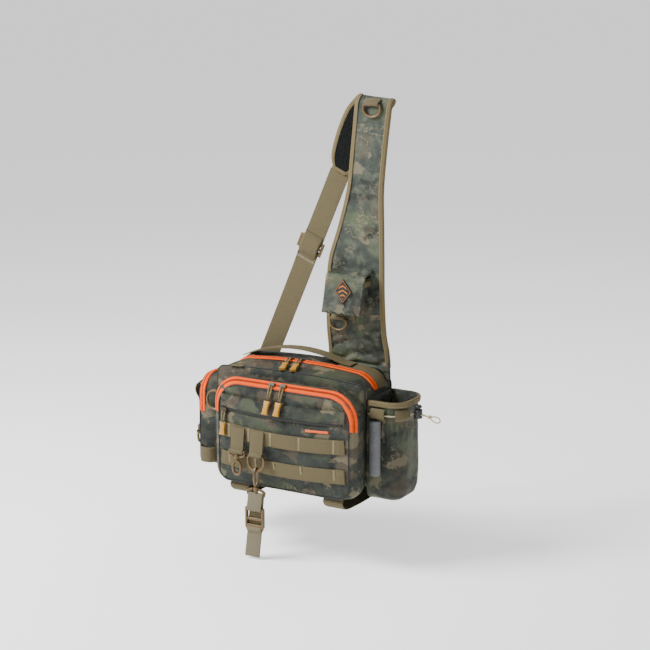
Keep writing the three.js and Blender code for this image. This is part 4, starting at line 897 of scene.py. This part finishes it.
def makeFlap():
    rings = []
    for x in overPanel(100, rows["edge"]):
        ring = []
        for rise, stand in flap["section"]:
            z = flap["foot"] + rise * flap["height"]
            ring.append(rowPoint(x, z, max(stand - 0.4 + 0.5 * ripple((x, 0, z), 24, 2.0), 0.2)))
        for rise, stand in reversed(flap["section"]):
            behind = -0.3 if rise > 0.4 else max(stand - 2.2, -0.3)
            ring.append(rowPoint(x, flap["foot"] + rise * flap["height"], behind))
        rings.append(ring)
    finish(ringMesh("flapFine", rings), "camo", ("slot_flap",))
    # a black strip just below the flap's lower edge: painted shadow of the flap
    slot = [rowPoint(x, flap["foot"] - flap["shadowDrop"], 0.3) for x in overPanel(60, 2 * rows["edge"])]
    finish(strip("flapShadowStrip", slot, (0, 0, 1), flap["zipWidth"], 1.0, 4), "piping")
    line = [rowPoint(x, *flap["stitch"]) for x in range(8, 247, 4)]
    repeatAlong("flapThread", [line], [(0, -1, 0)], 2.8, (1.9, 0.4, 0.4), "darkThread")
    start, end, height = flap["mark"]
    bar = [rowPoint(x, height, 0.6) for x in range(start, end, 3)]
    finish(strip("frontMark", bar, (0, 0, 1), flap["markWidth"], 0.7, 6), "mark")


# share of the height and how far the wall is drawn in, in corner radii
bottleRows = ((0, 0.75), (0.012, 0.45), (0.05, 0.18), (0.13, 0.03), (0.32, 0), (0.72, 0), (0.86, 0.06), (0.93, 0.03),
              (1, 0))
bottle = dict(start=255.35, front=58, side=36, radius=30, end=28, floor=-14, rim=161, wall=2, cordHeight=131,
              pleats=19, pleat=2.6, tunnels=((0.045, 0.18), (0.268, 0.402), (0.82, 0.955)), stitches=(153.9, 158.8))
bottleEdge = ((0.5, 152.3), (1.6, 151.8), (2.0, 153), (2.2, 156), (2.0, 160), (1.4, 161), (0.4, 161.4), (-1.6, 161.2),
              (-2.6, 160.4), (-2.7, 157), (-2.0, 156.4))  # the binding's section: outwards, height


# a place round the pocket's wall: share of the way from its front seam to its back seam, and how far outside it
def bottlePoint(share, offset):
    arc = math.pi / 2 * bottle["radius"]
    left = share * (2 * bottle["side"] + 2 * arc + bottle["end"])
    parts = []
    for length in (bottle["side"], arc, bottle["end"], arc, bottle["side"]):
        used = held(left, 0, length)
        left -= length
        parts.append(used)
    r = bottle["radius"]
    one, two = parts[1] / r, parts[3] / r
    x = bottle["start"] + parts[0] - parts[4] + r * math.sin(one) - r * (1 - math.cos(two))
    y = bottle["front"] + r * (1 - math.cos(one)) + parts[2] + r * math.sin(two)
    return x + math.sin(one + two) * offset, y - math.cos(one + two) * offset


def bottleOut(share):
    (x, y), (farX, farY) = bottlePoint(share, 0), bottlePoint(share, 1)
    return Vector((farX - x, farY - y, 0))


def bottleDraw(z):
    share = held((z - bottle["floor"]) / (bottle["rim"] - bottle["floor"]))
    return between(bottleRows, share)[1] * bottle["radius"]


def bottleRing(z, inset):
    points = []
    below = bottle["cordHeight"] - z
    low = held(below / 8) * math.exp(-max(below, 0) / 34)
    for share in [i / 140 for i in range(141)]:
        drawn = max(1 - min(abs(share - (a + b) / 2) for a, b in bottle["tunnels"]) / 0.14, 0)
        phase = share * 2 * math.pi * bottle["pleats"] + 2.2 * ripple((share * 60, 0, z), 14)
        pleat = (0.5 + 0.5 * math.sin(phase)) * low * (0.5 + drawn)
        rim = 1.2 * max((z - 149) / 12, 0) * (0.5 + 0.5 * math.sin(share * 2 * math.pi * 5 + 1))
        broad = 1.6 * ripple((share * 240, 3, z * 0.5), 38, 7) - 1.3
        move = (-bottle["pleat"] * pleat - rim * 0.3 + broad) * min(min(share, 1 - share) * 12, 1)
        x, y = bottlePoint(share, -inset - bottleDraw(z) + move)
        points.append((max(x, bottle["start"] + inset), y, z))
    a, b = Vector(points[-1]), Vector(points[0])
    return points + [a.lerp(b, k / 14) for k in range(1, 14)]


def makeBottle():
    floor, rim, wall = bottle["floor"], bottle["rim"], bottle["wall"]
    rise = [0, 0.4, 1, 2, 3.2, 5, 7, 9.5, 12.5, 16] + [16 + (159 * k / 62) for k in range(1, 63)]
    rings = [bottleRing(floor + h, 0) for h in rise]
    rings += [bottleRing(rim + 0.2, 0.6), bottleRing(rim, wall)]
    rings += [bottleRing(floor + 2 + (rim - floor - 4) * (1 - k / 20), wall) for k in range(1, 21)]
    finish(ringMesh("bottleSkin", rings), "camoBottle", ("bottle_pocket",))
    binding = []
    for share in [0.02 + 0.96 * i / 150 for i in range(151)]:
        section = []
        for offset, z in bottleEdge:
            z += 0.25 * math.sin(share * 60) if z == 156 else 0  # the outer face waves a little
            x, y = bottlePoint(share, offset - bottleDraw(min(z, rim)))
            section.append((max(x, bottle["start"] + 0.2), y, z))
        binding.append(section)
    finish(ringMesh("bottleEdging", binding), "edging", ("bottle_binding",))
    shares = [0.03 + 0.94 * i / 120 for i in range(121)]
    seams = [[bottlePoint(share, 2.25 - bottleDraw(z)) + (z,) for share in shares] for z in bottle["stitches"]]
    repeatAlong("bottleThread", seams, [[bottleOut(share) for share in shares]] * 2, 2.6, (1.8, 0.4, 0.35), "thread")
    for i, (a, b) in enumerate(bottle["tunnels"]):
        piece = roundCopy("cord_tunnel_%d" % (i + 1), "web", 0.5)
        flatUv(piece, (0, 0, 1), bottleOut((a + b) / 2).cross(Vector((0, 0, 1))))


# the pad up the front (height, back, left, right), over the fold (turn, left, right, lean), down the rear (height,
# middle, half width, lean)
padRows = ((226, 134, 140, 257), (260, 128, 140, 254), (318, 125, 141, 252), (377, 125, 145, 251), (435, 125, 163, 250),
           (500, 125, 180, 249), (564, 125, 187, 254), (625, 125, 193, 261))
foldRows = ((25, 194, 263, 0), (60, 194, 263, 2), (90, 192, 262, 4), (120, 188, 258, 8), (155, 180, 249, 14))
rearRows = ((619, 192, 32.5, 20), (585, 175, 31.5, 24), (556, 163, 29, 24), (538, 156, 25, 24), (528, 152.5, 19, 24),
            (521, 150, 11, 24))
pad = dict(thick=6, back=125, fold=15, foldZ=637, rearY=155, foot=198.5, footY=139, left=140, right=257, binding=8,
           columns=30, finer=14, fill=0.55, gather=4.6, gatherReach=85, settled=22)


# middle, half width and outward direction along the pad
def padStations():
    left, right = pad["left"], pad["right"]
    rows = [(Vector(((left + right) / 2, pad["footY"], pad["foot"])), Vector(((right - left) / 2, 0, 0)),
             Vector((0, -1, 0)))]
    for z, back, left, right in padRows:
        rows.append((Vector(((left + right) / 2, back, z)), Vector(((right - left) / 2, 0, 0)), Vector((0, -1, 0))))
    for turn, left, right, lean in foldRows:
        t, l, half = math.radians(turn), math.radians(lean), (right - left) / 2
        middle = ((left + right) / 2, pad["back"] + pad["fold"] * (1 - math.cos(t)),
                  pad["foldZ"] + pad["fold"] * math.sin(t))
        rows.append((Vector(middle), Vector((half * math.cos(l), 0, -half * math.sin(l))),
                     Vector((0, -math.cos(t), math.sin(t)))))
    for z, x, half, lean in rearRows:
        l = math.radians(lean)
        rows.append((Vector((x, pad["rearY"], z)), Vector((half * math.cos(l), 0, -half * math.sin(l))),
                     Vector((0, 1, 0))))
    tracks = [smoothPath([row[k] for row in rows], pad["finer"]) for k in range(3)]
    return [(m, a, n.normalized()) for m, a, n in zip(*tracks)]


def topHeight(x, y):
    line = [p for p in mainOutline(y)[rightSideStart:] if p[1] > main["height"] * 0.6]
    return min(line, key=lambda p: abs(p[0] - x))[1]


def padThickness(u):
    return pad["thick"] / 2 * (1 - 0.45 * abs(u) ** 8)


def padGather(p, u, low):
    wave = 0.5 + 0.5 * math.sin((p.z - 0.22 * p.x) * 0.36 + 3 * ripple(p, 30, 2))
    return -pad["gather"] * low * wave ** 1.6 * (1 - u ** 6)


def makePadSkin(stations):
    shares = [2 * i / pad["columns"] - 1 for i in range(pad["columns"] + 1)]
    rings = []
    for middle, across, out in stations:
        low = max(1 - (middle.z - 200) / pad["gatherReach"], 0) if out.y < 0 else 0
        ring = []
        for u in shares:
            p = middle + across * u
            fold = (ripple(p, 42, 11) + 0.4 * ripple(p, 16, 4)) * 0.8 - 0.25
            ring.append(p + out * (padThickness(u) + fold * (1 - u ** 8) + padGather(p, u, low)))
        rings.append(ring + [middle + across * u - out * padThickness(u) for u in reversed(shares)])
    for r, ring in enumerate(rings[:pad["settled"]]):  # its foot is let down onto the bag
        share = (1 - r / pad["settled"]) ** 1.6
        for i, p in enumerate(ring):
            drop = held(p.z - topHeight(p.x, p.y) - 0.3, -4, 22)
            ring[i] = p - Vector((0, 0, drop * share))
    skin = finish(ringMesh("padSkin", rings), "camoStrap", ("strap_pad",))
    skin.data.materials.append(looks["mesh"])
    count = 2 * len(shares)
    for face in skin.data.polygons:
        spots = [v % count for v in face.vertices]
        if len(spots) == 4 and min(spots) > pad["columns"] and max(spots) < count:
            face.material_index = 1


def makePad():
    stations = padStations()
    makePadSkin(stations)
    wide, t = pad["binding"], padThickness(1)
    threads, facings = [], []
    for name, sign in (("Left", -1), ("Right", 1)):
        rings, line = [], []
        for middle, across, out in stations:
            half = across.length
            unit = across / half * sign
            tip = middle + across * sign
            inner = padThickness((half - wide) / half)
            section = (
                (-wide, inner + 0.1), (0.3 - wide, inner + 0.95), (-0.55 * wide, inner + 1.0),
                (-0.5 * wide, inner + 0.55), (-0.42 * wide, inner + 0.95), (-1.0, t + 1.1), (0.5, t * 0.7), (0.8, 0),
                (0.5, -t * 0.7), (-1.0, -t - 0.8), (-0.9 * wide, -inner - 0.7), (-wide, -inner - 0.1),
                (-0.6 * wide, 0))
            rings.append([tip + unit * a + out * b for a, b in section])
            line.append(tip - unit * wide * 0.82 + out * (inner + 0.98))
        finish(ringMesh("padEdging" + name, rings), "edging", ())
        threads.append(line)
        facings.append([out for _, _, out in stations])
    repeatAlong("padThread", threads, facings, 3.1, (2.1, 0.45, 0.4), "thread")
    middle, across, out = stations[-1]
    down = (middle - stations[-6][0]).normalized()
    section = ((-7, 3.6), (-1, 3.4), (0.8, 1.6), (0.8, -1.6), (-1, -3.4), (-7, -3.6))
    rings = [[middle + across * (u / 10) + down * a + out * b for a, b in section] for u in range(-10, 11)]
    finish(ringMesh("padEdgingEnd", rings), "edging", ())


pouch = dict(middle=186, lean=0.12, foot=292, height=62, width=74, depth=24, face=121.5, corner=7, wall=1.6,
             flapThick=1.8, flapOut=1.65)


def pouchPlace(x, y, z):
    return (pouch["middle"] + pouch["lean"] * (z - pouch["foot"]) + x, pouch["face"] + y, z)


def pouchRing(z, inset, bulge):
    r = pouch["corner"]
    half, deep = pouch["width"] / 2 - 3 - inset, pouch["depth"] - 2 * inset
    face = -inset - deep
    turns = [(r * math.cos(a), r * math.sin(a)) for a in (math.pi / 2 * i / 8 for i in range(1, 8))]
    points = [(-half + 2 * half * i / 12, -inset) for i in range(13)]
    points += [(half, -inset - (deep - r) * i / 8) for i in range(1, 9)]
    points += [(half - r + a, face + r - b) for a, b in turns]
    points += [((half - r) * u, face - bulge * (1 - u * u)) for u in (1 - i / 12 for i in range(25))]
    points += [(-half + r - b, face + r - a) for a, b in turns]
    points += [(-half, face + r + (deep - r) * i / 8) for i in range(8)]
    return [pouchPlace(x, y, z) for x, y in points]


def makePouch():
    foot, h, wall = pouch["foot"], pouch["height"], pouch["wall"]
    rings = [pouchRing(foot + h * t, 1.8 * math.exp(-t * 22), -0.4 + 0.2 * math.sin(3 * t))
             for t in (i / 24 for i in range(25))]
    rings += [pouchRing(foot + h * (1 - i / 8) + wall * i / 8, wall, -0.4) for i in range(9)]
    body = wrinkle(ringMesh("pouchSkin", rings), lambda p, n: 0.8 * ripple(p, 24, 6) + 0.3 * ripple(p, 9, 1) - 0.55)
    finish(body, "camoStrap", ("strap_pouch",))
    out = pouch["depth"] + pouch["flapOut"]
    line = smoothPath([(a, b, 0) for a, b in (
        (-1.2, h + 14), (-4, h + 9), (-out * 0.6, h + 7), (-out * 0.9, h + 5), (-out - 0.7, h - 1),
        (-out - 1.5, h * 0.4), (-out - 2.5, 0))], 7)
    rings = []
    for k, p in enumerate(line):
        along = (line[min(k + 1, len(line) - 1)] - line[max(k - 1, 0)]).normalized()
        n = Vector((along.y, -along.x, 0))
        n = n if n.x < 0 or n.y > 0 else -n
        top, under = [], []
        for u in [2 * i / 28 - 1 for i in range(29)]:
            soft = 0.9 * ripple((u * 37, k * 2.2, 5), 17, 3) * min(k / 12, 1)
            for row, lift in ((top, pouch["flapThick"] / 2 + soft), (under, soft - pouch["flapThick"] / 2)):
                q = p + n * lift
                z = foot + q.y + 0.8 * ripple((u * 30, 1, 1), 12) * (k / len(line))
                row.append(pouchPlace(u * pouch["width"] / 2, q.x, z))
        rings.append(top + under[::-1])
    finish(ringMesh("flapSkin", rings), "camoStrap", ("pouch_flap",))


# webbing carried over from the CAD: direction along the weave, direction across it, nodes
webLays = (
    ((0, 0, 1), (1, 0, 0), ("hanger_left", "hanger_right", "ladder_strap", "ladder_tail")),
    ((1, 0, 0), (0, 1, 0), ("carry_handle", "handle_wing_left")),
    ((1, 0, -0.6), (0, 1, 0), ("handle_wing_right",)),
    ((0, 0, 1), (0, 1, 0), ("side_webbing",)),
    ((1, 0, 0), (0, 0, 1), ("side_ring_tab",)),
    ((0, 0, 1), (1, 0, 0), ("strap_ring_upper_tab", "strap_ring_lower_tab")),
    ((0, 1, 0), (0, 0, 1), ("pouch_side_tab",)),
    ((0, 0, 1), (1, 0, 0), ("pouch_lower_tab",)),
    ((-0.388, -0.018, -0.92), (0.92, 0, -0.388), ("strap_webbing",)),
)
softWebs = ("carry_handle", "strap_webbing", "side_webbing")
paleWebs = ("ladder_strap", "ladder_tail")
ringNodes = ("front_ring", "side_ring", "side_webbing_ring", "strap_ring_upper", "strap_ring_lower")
hookNodes = ("hook_left_base", "hook_left", "hook_right", "hook_right_base")
pull = dict(edge=0.35, swell=0.5, cordShare=0.52)


def makeCarried():
    for along, across, nodes in webLays:
        for node in nodes:
            look = "paleWeb" if node in paleWebs else "web"
            flatUv(roundCopy(node, look, 0.45, 1 if node in softWebs else 0), along, across)
    for node in ringNodes:
        roundCopy(node, "moulded", levels=2, swell=0.5)
    for node in hookNodes:
        roundCopy(node, "moulded", 0.5, swell=0.35)
    roundCopy("tri_glide", "moulded", 0.9)
    makeLadder()
    for node in ("cord_lock_barrel", "cord_lock_plunger"):
        roundCopy(node, "black", 0.8)
    roundCopy("tool_sleeve", "knit", 0.5)
    low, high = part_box("pouch_badge")
    flatUv(roundCopy("pouch_badge", "badge", 0.5), (1, 0, 0), (0, 0, 1), (low + high) / 2)
    for node in sorted(frame["nodes"]):
        if "slider" in node:
            roundCopy(node, "metal", 0.5)
        elif "pull" in node:
            makePull(node)


# the cord loop starts at the slider; the moulded grip is the part of the pull that is far from it
def makePull(node):
    piece = roundCopy(node, "pullCord", pull["edge"], swell=pull["swell"])
    flatUv(piece, (0, 0, 1), (1, 0, 0))
    piece.data.materials.append(looks["grip"])
    low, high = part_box(node)
    start = Vector(((low.x + high.x) / 2, high.y, high.z))
    far = max((v.co - start).length for v in piece.data.vertices)
    for face in piece.data.polygons:
        if (face.center - start).length > far * pull["cordShare"]:
            face.material_index = 1


ladder = dict(rail=4.6, deep=3.4, bar=4.4, plate=10.5, edge=1.7, web=27, webThick=1.4, lean=7 / 60)
blockFaces = ((0, 1, 3, 2), (4, 6, 7, 5), (0, 4, 5, 1), (2, 3, 7, 6), (0, 2, 6, 4), (1, 5, 7, 3))


def blocks(name, boxes, edge):
    points, faces = [], []
    for low, high in boxes:
        start = len(points)
        points += [(x, y, z) for x in (low[0], high[0]) for y in (low[1], high[1]) for z in (low[2], high[2])]
        faces += [tuple(start + i for i in face) for face in blockFaces]
    obj = newObject(name, points, faces)
    roundEdges(obj, edge, 4)
    return useModifiers(obj)


# the lock's two rails, top bar, middle bar, lower plate and its lip, with the webbing behind them
def makeLadder():
    low, high = (Vector(v) * 1000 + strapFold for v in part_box("ladder_lock"))
    x, y = (low.x + high.x) / 2, (low.y + high.y) / 2
    d, rail = ladder["deep"], ladder["rail"]
    half = (high.z - low.z) / 2
    block = lambda inset, front, back, foot, top: (
        (low.x + inset, y - front, low.z + foot), (high.x - inset, y + back, low.z + top))
    boxes = [((left, y - d, low.z + 5), (left + rail, y + d, high.z + 0.4)) for left in (low.x, high.x - rail)]
    boxes += [
        block(1, 2.1, 2.1, 2 * half - ladder["bar"], 2 * half), block(1, 2.8, 1.2, half - 2.4, half + 2.4),
        block(0.6, 3.0, 0.8, 1.5, ladder["plate"]), block(5, 3.2, 0.8, -2.2, 5)]
    finish(blocks("ladderFine", boxes, ladder["edge"]), "moulded", ("ladder_lock",), "ladder_piece")
    heights = ((high.z + 1, 2.6), (high.z - 6, 2.4), (low.z + half, 2.2), (low.z + 8, 2.2), (low.z - 2, 2.6))
    line = [(x + ladder["lean"] * (z - low.z - half), y + back, z) for z, back in heights]
    webbing("ladderWeb", smoothPath(line, 6), (1, 0, 0), ladder["web"], (), "ladder_piece", ladder["webThick"], 10)


# the sling loops: share of the bag's depth, share of the drop
slingRows = ((0.055, 0), (0.027, 0.36), (0.068, 0.72), (0.16, 0.95), (0.51, 1.04), (0.85, 0.95), (0.945, 0.72),
             (0.985, 0.36), (0.96, 0))
sling = dict(drop=22, start=-1.1, width=38, places=(("bottom_loop_left", 38), ("bottom_loop_right", 222)))


def makeSlings():
    spots = [(0, share * main["back"], sling["start"] - drop * sling["drop"]) for share, drop in slingRows]
    line = smoothPath(spots, 6)
    for name, x in sling["places"]:
        webbing(name + "Fine", [p + Vector((x, 0, 0)) for p in line], (1, 0, 0), sling["width"], (name,))


# out: the doubled cord past the lock, as distance, half gap in lanes, drop and tilt of the loop
drawLine = dict(height=138, stand=2.05, lockX=334.35, lockY=93, diameter=2.4, lane=1.6, knot=3.2, knotAt=21, tip=40,
                out=((-8, 1, 0, 0), (0, 1, 0, 0), (8, 1, 0, 0), (21, 1, -1.5, 0), (27, 2.2, -3, 2.2),
                     (36, 2.6, -5.5, 3)),
                before=(0.012, 0.1, 0.17, 0.23, 0.28, 0.33, 0.38), after=(0.6, 0.66, 0.72, 0.78, 0.85, 0.92, 0.988))


def makeDrawcord():
    z, x, y, lane = (drawLine[key] for key in ("height", "lockX", "lockY", "lane"))
    near = lambda share: bottlePoint(share, drawLine["stand"] - bottleDraw(z)) + (z,)
    points = [near(share) for share in drawLine["before"]]
    points += [(x + far, y - lane * wide, z + drop - tilt) for far, wide, drop, tilt in drawLine["out"]]
    points += [(x + drawLine["tip"], y, z - 7)]
    points += [(x + far, y + lane * wide, z + drop + tilt) for far, wide, drop, tilt in reversed(drawLine["out"])]
    points += [near(share) for share in drawLine["after"]]
    path = smoothPath(points, 10)
    cord = tube("drawcordFine", path, drawLine["diameter"] / 2, sides=12)
    finish(cord, "cord", ("drawcord",))
    rings = []
    for a in [math.pi * (0.03 + 0.94 * k / 12) for k in range(13)]:
        r = drawLine["knot"] * math.sin(a)
        far = x + drawLine["knotAt"] - drawLine["knot"] * math.cos(a)
        turns = [math.pi * i / 12 for i in range(24)]
        rings.append([(far, y + r * math.cos(t), z - 1.5 + r * math.sin(t)) for t in turns])
    twist = lambda p, n: 0.55 * math.sin(2.2 * p.x + 2.6 * math.atan2(p.z - z + 1.5, p.y - y))
    knot = finish(wrinkle(ringMesh("drawcordKnot", rings), twist), "cord", ())
    length = sum((b - a).length for a, b in zip(path, path[1:])) / 1000
    print("drawcord length in metres:", round(length, 4))


# cover and tail: distance down the strap from its start, height above it
strap = dict(start=(149, 155, 522), foot=(4, 148.1, 178), glide=140, width=38, stitches=(27, 29), tail=(
    (-22, -0.4), (-8, -0.3), (1, 0.1)), cover=(
    (-19, 1.4), (-15, 4.4), (-9, 7.2), (0, 7.9), (9, 7.2), (15, 4.4), (20, 1.4)))


def makeStrapExtras():
    start, foot, glide = Vector(strap["start"]), Vector(strap["foot"]), strap["glide"]
    along = (foot - start).normalized()
    across = Vector((along.z, 0, -along.x)).normalized()
    frontWay = across.cross(along)
    spot = lambda far, stand: start + along * far + frontWay * stand
    cover = smoothPath([spot(glide + far, stand) for far, stand in strap["cover"]], 6)
    webbing("glideCover", cover, across, strap["width"] - 1)
    webbing("strapTop", smoothPath([spot(*row) for row in strap["tail"]], 5), across, strap["width"] - 3)
    lines = [[spot(glide + far, 1.15) + across * w for w in range(-17, 18, 2)] for far in strap["stitches"]]
    repeatAlong("strapStitch", lines, [frontWay] * 2, 2.6, (2.0, 0.5, 0.4), "paleThread")


rodLoop = dict(middle=-57, width=34, reach=15, height=27, foot=9, seat=55.9)
rodRows = ((0.46, 0), (0.43, 0.4), (0.27, 0.85), (0, 1), (-0.27, 0.85), (-0.43, 0.4), (-0.46, 0))  # along, out


def makeRodLoop():
    z = rodLoop["foot"] + rodLoop["height"] / 2
    line = [(rodLoop["middle"] + along * rodLoop["width"], rodLoop["seat"] - out * rodLoop["reach"], z)
            for along, out in rodRows]
    webbing("rodLoopFine", smoothPath(line, 8), (0, 0, 1), rodLoop["height"], ("rod_loop",))


# a tan strip along the top front edge: a painted highlight where the light catches the fold
def makeTopHighlight():
    y = main["front"] + 1.5
    path = [(x, y, z + 0.9) for x, z in mainOutline(y)[rightSideStart:]
            if main["highlightStart"] <= x <= main["highlightEnd"] and z > 150]
    finish(strip("topEdgeHighlight", path, (0, 1, 0), 9, 1.4, 6), "edging")


makeCamera()
makeLooks()
makeStudio()
print("camera and room made")
makePocket("front", front, frontPlace, "front_compartment", frontFolds)
makePocket("side", side, sidePlace, "side_pocket", sideFolds)
makeMain()
print("compartments made")
makeRow("rowLower", rows["lower"], rows["lowerTacks"], "molle_row_lower")
makeRow("rowUpper", rows["upper"], rows["upperTacks"], "molle_row_upper")
makeFlap()
makeBottle()
makePad()
makePouch()
print("soft pieces made")
makeCarried()
makeDrawcord()
makeSlings()
makeStrapExtras()
makeRodLoop()
makeTopHighlight()
print("webbing and hardware made")
